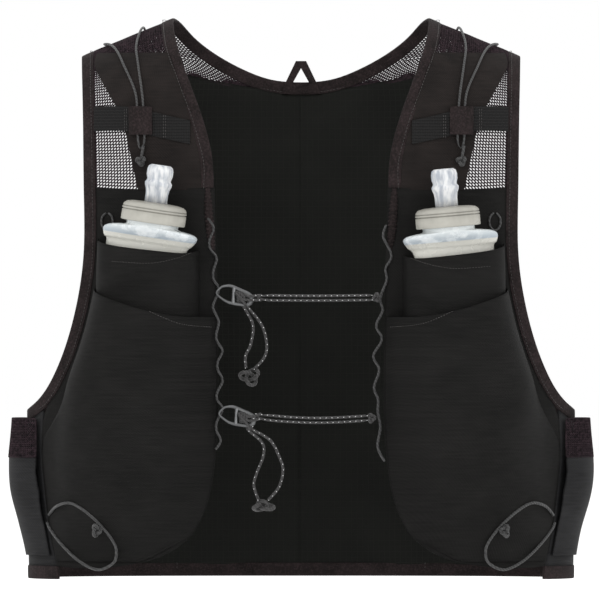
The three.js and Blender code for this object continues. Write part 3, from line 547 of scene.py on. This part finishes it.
def reshape(mesh, height):
    points = corners(mesh)
    moved = points + outward(points) * (height(points) * mm)[:, None]
    mesh.vertices.foreach_set("co", moved.ravel())
    mesh.update()


# Slots of the looks that have none of their own
borrowed = {"thread": "binding", "lined": "net", "fleck": "dark_cord"}


def settle(name, data, look, nodes=(), smooth=True):
    obj = addObject(name, data)
    data.materials.clear()
    data.materials.append(looks[look])
    if smooth and isinstance(data, bpy.types.Mesh):
        data.shade_smooth()
    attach(obj, "root")
    if nodes:
        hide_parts(*nodes)
    borrowed.get(look, look)
    return obj


# Free cords first: the loose ends of the chest cords and the pole loops
tails = {
    "upper_a": [[-0.2065, 0.493], [-0.2065, 0.5], [-0.175, 0.532], [-0.184, 0.568], [-0.202, 0.588],
                [-0.201, 0.6105]],
    "upper_b": [[-0.1925, 0.493], [-0.1925, 0.5], [-0.143, 0.532], [-0.125, 0.568], [-0.135, 0.592],
                [-0.172, 0.6128]],
    "lower_a": [[-0.1925, 0.7175], [-0.1925, 0.724], [-0.142, 0.747], [-0.137, 0.771], [-0.161, 0.802],
                [-0.172, 0.826], [-0.155, 0.8525]],
    "lower_b": [[-0.178, 0.7175], [-0.178, 0.723], [-0.112, 0.743], [-0.077, 0.776], [-0.066, 0.798],
                [-0.08, 0.828], [-0.12, 0.8525]],
}
poleRoute = [[0.925, 0.882], [0.895, 0.865], [0.845, 0.8585], [0.79, 0.873], [0.73, 0.9], [0.688, 0.927],
             [0.674, 0.946], [0.685, 0.968], [0.742, 0.981], [0.81, 0.966], [0.875, 0.936], [0.918, 0.909],
             [0.93, 0.896]]
cordWidth = {"chest": 2.3, "pole": 2.2}


# Route at the depth of the CAD cord: the middle of its nearest ring of corners
def atDepth(node, route):
    points = corners(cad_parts[node].data)
    line = []
    for spot in route:
        away = np.hypot(points[:, 0] - spot.x, points[:, 2] - spot.z)
        near = np.argsort(away)[:24]
        line.append((points[near, 1].min() + points[near, 1].max()) / 2)
    soft = np.convolve(np.pad(line, 2, mode="edge"), np.ones(5) / 5, mode="valid")
    return [Vector((spot.x, y, spot.z)) for spot, y in zip(route, soft)]


# A round cord through points in metres, each with its share of the radius
def cordCurve(name, points, width, look, nodes=(), shares=None, closed=False):
    data = bpy.data.curves.new(name, "CURVE")
    data.dimensions = "3D"
    data.bevel_depth = width / 2 * mm
    data.bevel_resolution = 3
    data.use_fill_caps = True
    spline = data.splines.new("POLY")
    spline.points.add(len(points) - 1)
    for point, spot, share in zip(spline.points, points, shares or [1] * len(points)):
        point.co = (*spot, 1)
        point.radius = share
    spline.use_cyclic_u = closed
    return settle(name, data, look, nodes)


def cordLine(node, table, sign):
    rough = [Vector((sign * x * body["half"] * mm, 0, -z * body["drop"] * mm)) for x, z in table]
    return atDepth(node, smoothLine(rough, 6))


def freeCord(name, node, table, sign, width, look):
    points = cordLine(node, table, sign)
    obj = cordCurve(name, points, width, look, [node])
    length = sum((b - a).length for a, b in zip(points, points[1:]))
    print(name, "is", round(length / mm, 1), "mm long")
    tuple(points[0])


# Look, cord width in mm and size of each kind of knot: three crossing turns of cord pulled tight
knots = {"tail": ("dark_cord", 2.9, 1.35), "lace": ("dark_cord", 2.4, 1.1), "pole": ("cord", 2.6, 1.15),
         "shoulder": ("cord", 2.8, 1.15)}
stub = {"width": 2.4, "across": 0.3 * mm, "up": 1.7 * mm, "count": 8}


def knotMiddle(kind, end):
    low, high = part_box(f"{kind}_knot_{end}")
    return (low + high) / 2


def knotPiece(kind, end, tilt, center=None):
    look, width, size = knots[kind]
    low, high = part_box(f"{kind}_knot_{end}")
    center = center or knotMiddle(kind, end)
    half = (high - low) / 2 * size
    thin = width / 2 * mm
    points = []
    for k in range(49):
        t = 2 * math.pi * k / 48
        ring = Vector((math.sin(t) + 2 * math.sin(2 * t), -math.sin(3 * t),
                       math.cos(t) - 2 * math.cos(2 * t)))
        across = ring.x * math.cos(tilt) - ring.z * math.sin(tilt)
        up = ring.x * math.sin(tilt) + ring.z * math.cos(tilt)
        points.append(center + Vector((across / 3 * (half.x - thin), ring.y * max(0.2 * mm, half.y - thin),
                                       up / 3 * (half.z - thin))))
    return cordCurve(f"{kind}_knot_twist_{end}", points, width, look, [f"{kind}_knot_{end}"])


for end, tilt in (("upper", 0.3), ("lower", 1.2)):
    knotPiece("tail", end, tilt)
    knotPiece("lace", end, tilt + 0.5)
for name in sideNames:
    spots = corners(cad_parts[f"pole_loop_{name}"].data)
    middle = knotMiddle("pole", name)
    away = np.hypot(spots[:, 0] - middle.x, spots[:, 2] - middle.z)
    onLoop = Vector(spots[np.argsort(away)[:12]].mean(axis=0)) + Vector((0, -1.6 * mm, 0))
    knotPiece("pole", name, 0.5 * signs[name], onLoop)
    knotPiece("shoulder", name, 0.2)
    middle = knotMiddle("shoulder", name)
    line = [middle + Vector((stub["across"] * k, 0, stub["up"] * k)) for k in range(stub["count"])]
    cordCurve(f"shoulder_knot_stub_{name}", line, stub["width"], "cord")

for key, table in tails.items():
    freeCord(f"tail_cord_{key}", f"chest_tail_{key}", table, 1, cordWidth["chest"], "dark_cord")
for name in sideNames:
    freeCord(f"pole_cord_{name}", f"pole_loop_{name}", poleRoute, signs[name], cordWidth["pole"], "cord")
print("cords done")


# Cloth panels and pockets
bulge = {"middle": -352, "wide": 34, "out": 4.5}


def sideBulge(points):
    return bulge["out"] * np.exp(-((points[:, 2] / mm - bulge["middle"]) / bulge["wide"]) ** 2)


# Look, levels of refining, unevenness, and how far the edges go under the tapes, in mm
panels = {
    "back_panel": ("ripstop", 3, 1.1, 1.6),
    "side_panel": ("side_stretch", 2, 0.5, 0.5),
    "front_panel": ("stretch", 2, 0.4, 0.5),
    "flask_pocket": ("stretch", 3, 0.9, 0),
    "front_pocket": ("stretch", 3, 0.9, 0),
    "side_pocket": ("side_stretch", 3, 0.8, 0),
}
backFolds = [(-60, -150, 40, -190, 16, 0.9), (70, -240, 10, -330, 18, 1.0), (-80, -300, -30, -370, 14, 0.9)]
pocketFolds = {
    "flask_pocket_L": [(-106, -181, -75, -187, 5, 1.8), (-104, -186, -80, -200, 6, -1.6),
                       (-160, -193, -130, -187, 4, 1.5), (-152, -201, -118, -196, 6, -1.2),
                       (-95, -212, -84, -245, 5, 1.2)],
    "flask_pocket_R": [(82, -190, 104, -206, 5, 1.8), (78, -201, 98, -214, 5, -1.6),
                       (150, -181, 128, -192, 5, 1.2), (96, -172, 120, -180, 4, -1.2)],
    "front_pocket_L": [(-72, -236, -78, -300, 5, 1.0), (-84, -330, -120, -372, 9, 2.2),
                       (-112, -322, -146, -364, 8, -1.8), (-152, -300, -168, -345, 7, 1.5),
                       (-86, -355, -112, -392, 7, -1.6), (-76, -300, -92, -330, 8, 1.4)],
    "front_pocket_R": [(72, -240, 78, -305, 5, 1.0), (78, -372, 104, -390, 9, -2.6),
                       (82, -352, 106, -374, 6, 2.2), (110, -318, 146, -366, 9, -1.6),
                       (150, -300, 168, -345, 7, 1.5), (94, -318, 124, -345, 7, 1.4)],
}
sideFolds = [(182, -322, 203, -340, 4, 1.6), (186, -346, 205, -358, 4, -1.4), (180, -366, 198, -372, 4, 1.3),
             (190, -310, 206, -318, 3.5, -1.2)]


def clothPiece(name, node, kind, folds=(), swell=None):
    look, levels, uneven, tuck = panels[kind]
    mesh = refine(node, levels, tuck=tuck)
    reshape(mesh, lambda p: looseness(p, uneven) * 0.5 + foldHeight(p, folds) + (swell(p) if swell else 0))
    chart(mesh)
    return settle(name, mesh, look, [node])


sheets = {"back": clothPiece("back_cloth", "back_panel", "back_panel", backFolds)}
for name in sideNames:
    for kind in ("side_panel", "front_panel", "flask_pocket", "front_pocket"):
        node = f"{kind}_{name}"
        sheets[node] = clothPiece(f"{kind}_cloth_{name}", node, kind, pocketFolds.get(node, ()))
    node, sign = f"side_pocket_{name}", signs[name]
    folds = [(sign * a, b, sign * c, d, wide, high) for a, b, c, d, wide, high in sideFolds]
    sheets[node] = clothPiece(f"side_pocket_cloth_{name}", node, "side_pocket", folds, sideBulge)
print("cloth done")


# Nets: the outer face of the CAD mesh, refined, turned into six-sided cells of yarn
def newTree(name, inputs):
    tree = bpy.data.node_groups.new(name, "GeometryNodeTree")
    tree.interface.new_socket("Geometry", in_out="INPUT", socket_type="NodeSocketGeometry")
    for label, kind in inputs.items():
        tree.interface.new_socket(label, in_out="INPUT", socket_type=f"NodeSocket{kind}")
    tree.interface.new_socket("Geometry", in_out="OUTPUT", socket_type="NodeSocketGeometry")
    return tree, tree.nodes.new("NodeGroupInput"), tree.nodes.new("NodeGroupOutput")


def finishTree(tree, start, end, node):
    whole = add(tree, "GeometryNodeRealizeInstances", {"Geometry": node.outputs[0]})
    done = add(tree, "GeometryNodeSetMaterial", {"Geometry": whole.outputs[0],
                                                 "Material": start.outputs["Material"]})
    tree.links.new(done.outputs[0], end.inputs[0])
    return tree


def netTree():
    tree, start, end = newTree("net_cells", {"Yarn radius": "Float", "Material": "Material"})
    thirds = add(tree, "GeometryNodeTriangulate", {"Mesh": start.outputs["Geometry"]})
    cells = add(tree, "GeometryNodeDualMesh", {"Mesh": thirds.outputs[0], "Keep Boundaries": True})
    lines = add(tree, "GeometryNodeMeshToCurve", {"Mesh": cells.outputs[0]})
    ring = add(tree, "GeometryNodeCurvePrimitiveCircle", {"Resolution": 4,
                                                          "Radius": start.outputs["Yarn radius"]})
    yarn = add(tree, "GeometryNodeCurveToMesh", {"Curve": lines.outputs[0], "Profile Curve": ring.outputs[0]})
    return finishTree(tree, start, end, yarn)


def stitchTree():
    tree, start, end = newTree("stitch_row", {"Pitch": "Float", "Long": "Float", "Thin": "Float",
                                              "Material": "Material"})
    line = add(tree, "GeometryNodeMeshToCurve", {"Mesh": start.outputs["Geometry"]})
    spots = add(tree, "GeometryNodeResampleCurve",
                {"Curve": line.outputs[0], "Length": start.outputs["Pitch"]}, mode="LENGTH")
    along = add(tree, "GeometryNodeInputTangent")
    turn = add(tree, "FunctionNodeAlignRotationToVector", {"Vector": along.outputs[0]}, axis="Z")
    grain = add(tree, "GeometryNodeMeshUVSphere", {"Segments": 6, "Rings": 5, "Radius": 1.0})
    size = add(tree, "ShaderNodeCombineXYZ", {"X": start.outputs["Thin"], "Y": start.outputs["Thin"],
                                              "Z": start.outputs["Long"]})
    row = add(tree, "GeometryNodeInstanceOnPoints", {
        "Points": spots.outputs[0], "Instance": grain.outputs[0], "Rotation": turn.outputs[0],
        "Scale": size.outputs[0]})
    return finishTree(tree, start, end, row)


trees = {"net": netTree(), "stitch": stitchTree()}


def grown(mesh, treeName, values):
    obj = addObject("working", mesh)
    mod = obj.modifiers.new(treeName, "NODES")
    mod.node_group = trees[treeName]
    for item in trees[treeName].interface.items_tree:
        if item.item_type == "SOCKET" and item.in_out == "INPUT" and item.name in values:
            mod[item.identifier] = values[item.name]
    return evaluated(obj)


# Yarn radius of each net; how far edges go under the tapes, and how far the strap net lies back, in mm
nets = {"yarn": {"shoulder_mesh": 0.58, "side_mesh": 0.5}, "levels": 3, "tuck": 1.2, "back": -0.75}


for name in sideNames:
    for kind, yarn in nets["yarn"].items():
        node = f"{kind}_{name}"
        layer = refine(node, nets["levels"], outer=True, tuck=nets["tuck"])
        lift = sideBulge if kind == "side_mesh" else lambda points: np.full(len(points), nets["back"])
        reshape(layer, lift)
        mesh = grown(layer, "net", {"Yarn radius": yarn * mm, "Material": looks["net"]})
        sheets[node] = settle(f"{kind}_net_{name}", mesh, "net", [node], smooth=False)
print("nets done")


# Lines on the draped surface: the edges of the vest as shares across and down, and whether behind
armEdge = [
    ([[0.793, 0.2805], [0.794, 0.21], [0.796, 0.137], [0.8, 0.085], [0.805, 0.0376]], False, False),
    ([[0.805, 0.0376], [0.785, 0.047], [0.756, 0.061]], True, False),
    ([[0.756, 0.061], [0.7, 0.097], [0.643, 0.137], [0.608, 0.184], [0.582, 0.238], [0.577, 0.281],
      [0.592, 0.401], [0.657, 0.519], [0.765, 0.608], [0.883, 0.663], [0.958, 0.6815]], True, True),
    ([[0.958, 0.67], [0.92, 0.644], [0.862, 0.578], [0.815, 0.488], [0.791, 0.401], [0.793, 0.2805]],
     False, False),
]
neckEdge = [
    ([[0.318, 0.2805], [0.316, 0.243], [0.329, 0.205], [0.369, 0.136], [0.413, 0.077], [0.458, 0.012],
      [0.472, -0.0342]], False, False),
    ([[0.472, -0.0342], [0.413, -0.009], [0.371, 0.012], [0.282, 0.04], [0.193, 0.0625], [0.141, 0.0725],
      [0.07, 0.079], [0.001, 0.0805]], True, False),
]


def edgeSpots(parts):
    spots = []
    for rows, back, behind in parts:
        turns = []
        for across, down in rows:
            turn, fall = placeAt(across, down, back)
            turns.append((100 * (math.pi - turn), -fall) if behind else (100 * turn, fall))
        line = smoothLine(turns, 6)
        spots += [(spot.x / 100, spot.y) for spot in (line if not spots else line[1:])]
    return spots


# A line beside an edge, a distance inside it and a height above the drape, in metres
def besideEdge(spots, distance, height, sign, closed=False):
    places = [slopes(turn, fall) for turn, fall in spots]
    count = len(places)
    line = []
    for k, (point, normal) in enumerate(places):
        before = places[k - 1][0] if k or closed else point
        after = places[(k + 1) % count][0] if k < count - 1 or closed else point
        if (after - before).length < 0.01:
            continue
        inward = normal.cross(after - before).normalized() * distance
        line.append(onSide(point + inward + normal * height, sign))
    return line


# Rows of stitches along lines, all in one piece
def stitches(name, lines, pitch=2.6, long=0.95, thin=0.26, look="thread"):
    points, edges = [], []
    for line in lines:
        edges += [(len(points) + k, len(points) + k + 1) for k in range(len(line) - 1)]
        points += [tuple(spot) for spot in line]
    row = bpy.data.meshes.new("lines")
    row.from_pydata(points, edges, [])
    mesh = grown(row, "stitch", {"Pitch": pitch * mm, "Long": long * mm, "Thin": thin * mm,
                                 "Material": looks[look]})
    return settle(name, mesh, look)


# Solid lining in front of the mesh strap, from the neck tape to a slanting line: the arm side stays open
lining = {"rows": 30, "columns": 14, "height": 1.5, "outer": [
    (-122, 126), (-118.6, 127.1), (-78, 135.7), (-57.7, 142.7), (-25.7, 160.5), (-19, 161), (-12, 158)],
    "top": -14, "bottom": -120.5, "inside": 8}


def strapLining(name):
    acrosses, downs = zip(*reversed(neckEdge[0][0]))
    heights, outers = zip(*lining["outer"])
    points = []
    for j in range(lining["rows"] + 1):
        z = lining["bottom"] + (lining["top"] - lining["bottom"]) * j / lining["rows"]
        inner = np.interp(-z / body["drop"], downs, acrosses) * body["half"] + lining["inside"]
        outer = np.interp(z, heights, outers)
        for i in range(lining["columns"] + 1):
            x = inner + (outer - inner) * i / lining["columns"]
            point, normal = slopes(*placeAt(x / body["half"], -z / body["drop"]))
            points.append(onSide(point + normal * lining["height"], signs[name]))
    wide = lining["columns"] + 1
    corner = [j * wide + i for j in range(lining["rows"]) for i in range(lining["columns"])]
    faces = [(a, a + 1, a + wide + 1, a + wide) for a in corner]
    mesh = bpy.data.meshes.new(f"strap_lining_{name}")
    mesh.from_pydata(points, [], faces)
    chart(mesh)
    return settle(f"strap_lining_{name}", mesh, "lined")


for name in sideNames:
    sheets[f"lining_{name}"] = strapLining(name)
armSpots, neckSpots = edgeSpots(armEdge), edgeSpots(neckEdge)
# Stitches near the inner edge of the neck and arm tapes, on both faces, in mm
tapeSeam = {"inside": 7.9, "heights": (2.2, -0.8)}
tapeRows = []
for sign in signs.values():
    for spots, side, closed in ((armSpots, 1, True), (neckSpots, -1, False)):
        for height in tapeSeam["heights"]:
            tapeRows.append(besideEdge(spots, side * tapeSeam["inside"], height, sign, closed))
stitches("tape_stitches", tapeRows)
print("lining and tape stitches done")


# Bindings, webbing and keepers: tapes with rounded edges
# CAD node: name of the piece, levels of refining, rounding in mm, and how much longer it is made
tapes = {
    "neck_binding": ("neck_tape", 2, 0.9, 1), "hem_binding": ("hem_tape", 2, 0.9, 1),
    "armhole_binding_L": ("armhole_tape_L", 2, 0.9, 1), "armhole_binding_R": ("armhole_tape_R", 2, 0.9, 1),
    "webbing_L": ("strap_webbing_L", 2, 0.4, 1.09), "webbing_R": ("strap_webbing_R", 2, 0.4, 1.09),
    "keeper_L": ("keeper_tape_L", 2, 0.4, 1), "keeper_R": ("keeper_tape_R", 2, 0.4, 1),
    "hanger_loop": ("hanger_tape", 0, 0.5, 1),
}


for node, (pieceName, levels, bevel, longer) in tapes.items():
    mesh = refine(node, levels, bevel=bevel)
    if longer > 1:
        points = corners(mesh)
        center = (points[:, 0].min() + points[:, 0].max()) / 2
        points[:, 0] = center + (points[:, 0] - center) * longer
        mesh.vertices.foreach_set("co", points.ravel())
    reshape(mesh, lambda spots: looseness(spots, 0.12))
    chart(mesh)
    settle(pieceName, mesh, "webbing" if "webbing" in node else "binding", [node])
print("tapes done")


# Cords that the vest holds all the way
heldCords = [f"{kind}_{name}" for name in sideNames
             for kind in ("shoulder_cord", "front_lace", "flask_tether")]
for node in heldCords + ["chest_cord_upper", "chest_cord_lower"]:
    look = "dark_cord" if "chest" in node else "cord"
    settle(f"{node}_braid", refine(node, 2, rimOnly=False), look, [node])


# Chest clips: a rounded rim, heavier at its right end, and a bar, with the cord wound through the opening
clip = {
    "rim": [(0.4, 0, 0.9), (3.5, 4.1, 0.9), (7, 5.4, 1.0), (12, 5.2, 1.2), (19, 2.1, 1.5), (25, -1, 1.9),
            (27, -3.4, 2.2), (26.6, -7, 2.2), (24.5, -8.8, 1.8), (20, -9.1, 1.4), (9.8, -7.4, 1.1),
            (3.5, -3.7, 0.9)],
    "bar": [(14.2, 4.2, 1.5), (13.6, -1.5, 1.2), (13.4, -8, 1.5)],
    "tip": {"upper": (-66, -200.5), "lower": (-64, -294.3)},
    "end": {"upper": (-37, -204.2), "lower": (-37, -296.2)},
    "tail": {"upper": (-43.5, -209.5), "lower": (-40.5, -304.5)},
    "turns": 3, "strand": 1.15,
}


# A curve of changing radius, in mm
def heavyCurve(name, rows, look, nodes=(), closed=False):
    points = [(x * mm, y * mm, z * mm) for x, y, z, _ in rows]
    return cordCurve(name, points, 2, look, nodes, [row[3] for row in rows], closed)


def chestClip(end):
    low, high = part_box(f"chest_clip_{end}")
    plane = (low.y + high.y) / 2 / mm
    tipX, tipZ = clip["tip"][end]
    endX, endZ = clip["end"][end]
    tailX, tailZ = clip["tail"][end]
    rim = smoothLine(clip["rim"], 6, True)
    heavyCurve(f"clip_rim_{end}", [(tipX + spot.x, plane, tipZ + spot.y, spot.z) for spot in rim], "clip",
               [f"chest_clip_{end}"], True)
    heavyCurve(f"clip_bar_{end}", [(tipX + x, plane, tipZ + z, r) for x, z, r in clip["bar"]], "clip")
    wound = [(endX + 6, plane, endZ + 1.8), (tipX + 25, plane - 2.6, tipZ - 2.6)]
    for k in range(12 * clip["turns"] + 1):
        turn = 2 * math.pi * k / 12
        along = tipX + 22 - 6 * k / 36
        wound.append((along, plane + 2.1 * math.cos(turn + 2.6), tipZ - 3 + 3.6 * math.sin(turn + 2.6)))
    wound += [(tipX + 21, plane - 3.4, tipZ - 6.5), (tailX, plane - 2.4, tailZ),
              (tailX + 1, plane, tailZ - 2)]
    heavyCurve(f"clip_hitch_{end}", [(*spot, cordWidth["chest"] / 2) for spot in smoothLine(wound, 3)],
               "dark_cord")
    strand = [(endX + 6, plane, endZ - 1.8), (tipX + 25, plane - 2.8, tipZ - 5.6),
              (tipX + 20.5, plane - 2.6, tipZ - 5)]
    heavyCurve(f"clip_strand_{end}", [(*spot, clip["strand"]) for spot in strand], "dark_cord")


for end in ("upper", "lower"):
    chestClip(end)


# Flasks: each on its own leaning axis, in mm: body, screw cap and bite valve
flask = {
    "L": {"lean": 8.5, "across": 0.54, "down": 0.346}, "R": {"lean": 5, "across": 0.537, "down": 0.354},
    "half": 38, "deep": 15, "long": 162, "bend": 0.42, "standoff": 18.5, "capStandoff": 27.5,
    "body": [(0.002, 0.53, 1.33, 1), (0.02, 0.54, 1.33, 1), (0.026, 0.7, 1.3, 1), (0.034, 0.88, 1.25, 0.95),
             (0.046, 0.965, 1.18, 0.85), (0.062, 0.97, 1.08, 0.65), (0.085, 0.92, 0.95, 0.35),
             (0.12, 0.83, 0.9, 0.05), (0.3, 0.8, 0.95, 0), (0.8, 0.76, 0.82, -0.1), (0.94, 0.62, 0.5, -0.45),
             (1, 0.42, 0.2, -0.6)],
    "inward": 4.5, "raised": 1.5, "fadeFrom": -5, "fadeOver": 14,
    "cap": {"radius": 25.2, "start": 0, "flutes": 36, "cut": 0.008, "profile": [
        (0.3, -0.4), (0.97, -0.4), (1.0, 0.2), (1.0, 7.6), (0.972, 7.9), (0.972, 8.5), (1.0, 8.8), (1.0, 9.8),
        (0.978, 10.1), (0.978, 10.6), (0.995, 10.9), (0.965, 12.6), (0.88, 14.3), (0.7, 15.2), (0.4, 15.6),
        (0.02, 15.7)]},
    "valve": {"radius": 9.4, "start": 15.3, "flutes": 9, "cut": 0.05, "profile": [
        (0.95, 0), (0.95, 7), (1.0, 10.5), (1.12, 13.5), (1.14, 15.5), (1.0, 17.5), (1.0, 18.5), (1.1, 21.5),
        (1.1, 25.5), (1.02, 28.2), (0.8, 29.6), (0.6, 29.6), (0.55, 28.6), (0.02, 28.4)]},
}


# The exposed top of each flask is moved inward and up, and this fades out where it goes into its pocket
def flaskAxis(name):
    own = flask[name]
    point, normal = slopes(*placeAt(own["across"], own["down"]))
    level = Vector((0, 0, 1))
    lateral = normal.cross(level).normalized()
    if lateral.x < 0:
        lateral.negate()
    lean = math.radians(own["lean"])
    up = level * math.cos(lean) - lateral * math.sin(lean)
    right = lateral * math.cos(lean) + level * math.sin(lean)

    def at(x, y, z):
        fade = min(1, max(0, 1 + (z - flask["fadeFrom"]) / flask["fadeOver"]))
        spot = point + right * (x - flask["inward"] * fade) + up * flask["raised"] * fade
        return onSide(spot + normal * y + up * z, signs[name])
    return at


def loft(name, rings, depths):
    count = len(rings[0])
    points = [spot for ring in rings for spot in ring]
    faces = []
    for j in range(len(rings) - 1):
        low, high = j * count, (j + 1) * count
        faces += [(low + i, low + (i + 1) % count, high + (i + 1) % count, high + i) for i in range(count)]
    faces += [tuple(range(count)), tuple(range(len(points) - count, len(points)))]
    mesh = bpy.data.meshes.new(name)
    mesh.from_pydata(points, [], faces)
    work = bmesh.new()
    work.from_mesh(mesh)
    bmesh.ops.recalc_face_normals(work, faces=work.faces)
    work.to_mesh(mesh)
    work.free()
    spots = np.stack([np.tile(np.arange(count), len(rings)), np.repeat(depths, count)], axis=1)
    mapped(mesh, spots.astype(float))
    return mesh


def flaskBody(name):
    at = flaskAxis(name)
    lean = math.tan(math.radians(flask[name]["lean"]))
    rings, depths = [], []
    for row in smoothLine([(100 * down, *rest) for down, *rest in flask["body"]], 5):
        standoff = flask["standoff"] + (flask["capStandoff"] - flask["standoff"]) * row.w
        drift = -flask["long"] * max(0, row.x / 100 - 0.08) * (1 - flask["bend"]) * lean
        ring = []
        for i in range(56):
            angle = 2 * math.pi * i / 56
            c, s = math.cos(angle), math.sin(angle)
            x = math.copysign(abs(c) ** 0.85, c) * flask["half"] * row.y + drift
            y = math.copysign(abs(s) ** 0.85, s) * flask["deep"] * row.z
            ring.append(at(x, standoff + y, -row.x / 100 * flask["long"]))
        rings.append(ring)
        depths.append(row.x / 100 * flask["long"])
    return loft(f"flask_skin_{name}", rings, depths)


def turned(part, name):
    own = flask[part]
    at = flaskAxis(name)
    rings = []
    for out, up in own["profile"]:
        cut = own["cut"] if out > 0.9 else 0
        ring = []
        for i in range(72):
            angle = 2 * math.pi * i / 72
            far = own["radius"] * out * (1 - cut * (0.5 + 0.5 * math.cos(own["flutes"] * angle)))
            ring.append(at(math.cos(angle) * far, flask["capStandoff"] + math.sin(angle) * far,
                           own["start"] + up))
        rings.append(ring)
    return loft(f"{part}_shell_{name}", rings, [up for _, up in own["profile"]])


for name in sideNames:
    settle(f"flask_skin_{name}", flaskBody(name), "film", [f"flask_body_{name}"])
    for part, node, look in (("cap", "flask_cap", "cap"), ("valve", "bite_valve", "silicone")):
        settle(f"{part}_shell_{name}", turned(part, name), look, [f"{node}_{name}"])
print("hard parts done")


# Reflective yarn showing at even steps along the chest cords
def fleckRows():
    rows = []
    for end, drop, sag in (("upper", 0.4815, 0.42), ("lower", 0.6985, 2.5)):
        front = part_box(f"chest_cord_{end}")[0].y
        knotLow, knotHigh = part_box(f"lace_knot_{end}")
        last = (knotLow.z + knotHigh.z) / 2 / mm
        for up in (1.8, -1.8):
            row = []
            for k in range(31):
                f = k / 30
                x = (-36 + 0.5 * up) * (1 - f) * mm + knotLow.x * f
                z = -drop * body["drop"] * (1 - f) + last * f + up - sag * math.sin(math.pi * f)
                row.append(Vector((x, front - 0.05 * mm + 0.2 * mm * (1 - f), z * mm)))
            rows.append(row)
    for key, table in tails.items():
        line = cordLine(f"chest_tail_{key}", table, 1)
        rows.append([spot + Vector((0.45 * mm * (-1) ** (key[-1] == "a"), -1.05 * mm, 0)) for spot in line])
    return rows


stitches("cord_flecks", fleckRows(), pitch=4.4, long=0.45, thin=0.27, look="fleck")


# Stitch bars on the strap webbing, and rows of stitches along the pocket hems, seen from the front
seamLift = 0.15


def rowOn(obj, starts, count=40):
    row = []
    for place in smoothLine(starts, count // (len(starts) - 1)):
        hit, spot, normal, _ = obj.ray_cast(Vector((place.x * mm, -1, place.y * mm)), Vector((0, 1, 0)))
        if hit:
            row.append(spot + normal * seamLift * mm)
    return row


bars = {"L": (-137.3, -106.9), "R": (110.8, 138.8)}
hems = {
    "flask_pocket": [(146, -176), (118, -177.5), (98, -174), (82, -168)],
    "front_pocket": [(146, -206), (122, -213), (95, -224), (70, -227)],
    "lower": {"flask_pocket_R": 4},
}


def trimRows():
    bpy.context.view_layer.update()
    rows = []
    for name in sideNames:
        webbing = bpy.data.objects[f"strap_webbing_{name}"]
        for x in bars[name]:
            for step in (0, 1.6):
                z = -71 if abs(x) < 125 else -66
                rows.append(rowOn(webbing, [(x + step, z + 8), (x + step, z - 8)]))
        sign = signs[name]
        for kind in ("flask_pocket", "front_pocket"):
            node = f"{kind}_{name}"
            hem = [(sign * x, z - hems["lower"].get(node, 0)) for x, z in hems[kind]]
            rows.append(rowOn(sheets[node], hem, 60))
        tape = bpy.data.objects["hem_tape"]
        rows.append(rowOn(tape, [(sign * x, -409.5) for x in (2, 60, 120, 150)], 90))
        rows.append(rowOn(tape, [(sign * 98, -406), (sign * 98, -417)], 10))
    return [row for row in rows if len(row) > 2]


stitches("trim_stitches", trimRows(), pitch=2.2, long=0.8, thin=0.28)


# Gathered elastic edge at the top of each front panel: a ribbed, rolled tube
gather = {"rows": [[0.34, 0.281], [0.338, 0.31], [0.334, 0.34], [0.329, 0.37], [0.322, 0.395]], "thick": 2.6,
          "rib": 0.45, "pitch": 3.1, "out": 1.6, "wide": 1.25, "flat": 0.7}


def gatheredEdge(name):
    spots = smoothLine(gather["rows"], 24)
    rings = []
    length = 0
    last = None
    for spot in spots:
        point, normal = slopes(*placeAt(spot.x, spot.y))
        length += (point - last).length if last else 0
        last = point
        thick = gather["thick"] + gather["rib"] * math.sin(2 * math.pi * length / gather["pitch"])
        ease = math.sin(math.pi * min(1, max(0.04, len(rings) / (len(spots) - 1)))) ** 0.3
        ring = []
        for i in range(18):
            angle = 2 * math.pi * i / 18
            side = (Vector((1, 0, 0)) * math.cos(angle) * thick * gather["wide"]
                    + normal * (math.sin(angle) * thick * gather["flat"]))
            ring.append(onSide(point + side * ease + normal * gather["out"], signs[name]))
        rings.append(ring)
    mesh = loft(f"gathered_edge_{name}", rings, list(range(len(rings))))
    return settle(f"gathered_edge_{name}", mesh, "binding")


for name in sideNames:
    gatheredEdge(name)
print("trim done")


# Estimated cut sizes, as the real ones aren't known: width, length and area in metres, where the area is
# the modelled cloth's own
cuts = {
    "back": (0.5, 0.37, 0.122, ["hem_binding", "armhole_binding_L", "armhole_binding_R"]),
    "front_panel": (0.16, 0.3, 0.035, ["armhole_binding_{0}"]),
    "side_panel": (0.08, 0.14, 0.0089, ["armhole_binding_{0}", "hem_binding"]),
    "flask_pocket": (0.115, 0.19, 0.0208, ["front_panel_{0}", "flask_body_{0}"]),
    "front_pocket": (0.18, 0.22, 0.0325, ["front_panel_{0}", "flask_pocket_{0}"]),
    "side_pocket": (0.085, 0.08, 0.0066, ["side_panel_{0}"]),
    "lining": (0.075, 0.108, 0.0072, ["shoulder_mesh_{0}"]),
}
# A net is open yarn with no surface of its own to measure, so it has no cut of its own here
for key, piece in sheets.items():
    kind, name = (key, "") if key == "back" else key.rsplit("_", 1)
    if kind in cuts:
        wide, long, size, rests = cuts[kind]
        under = [spot.format(name) for spot in rests]
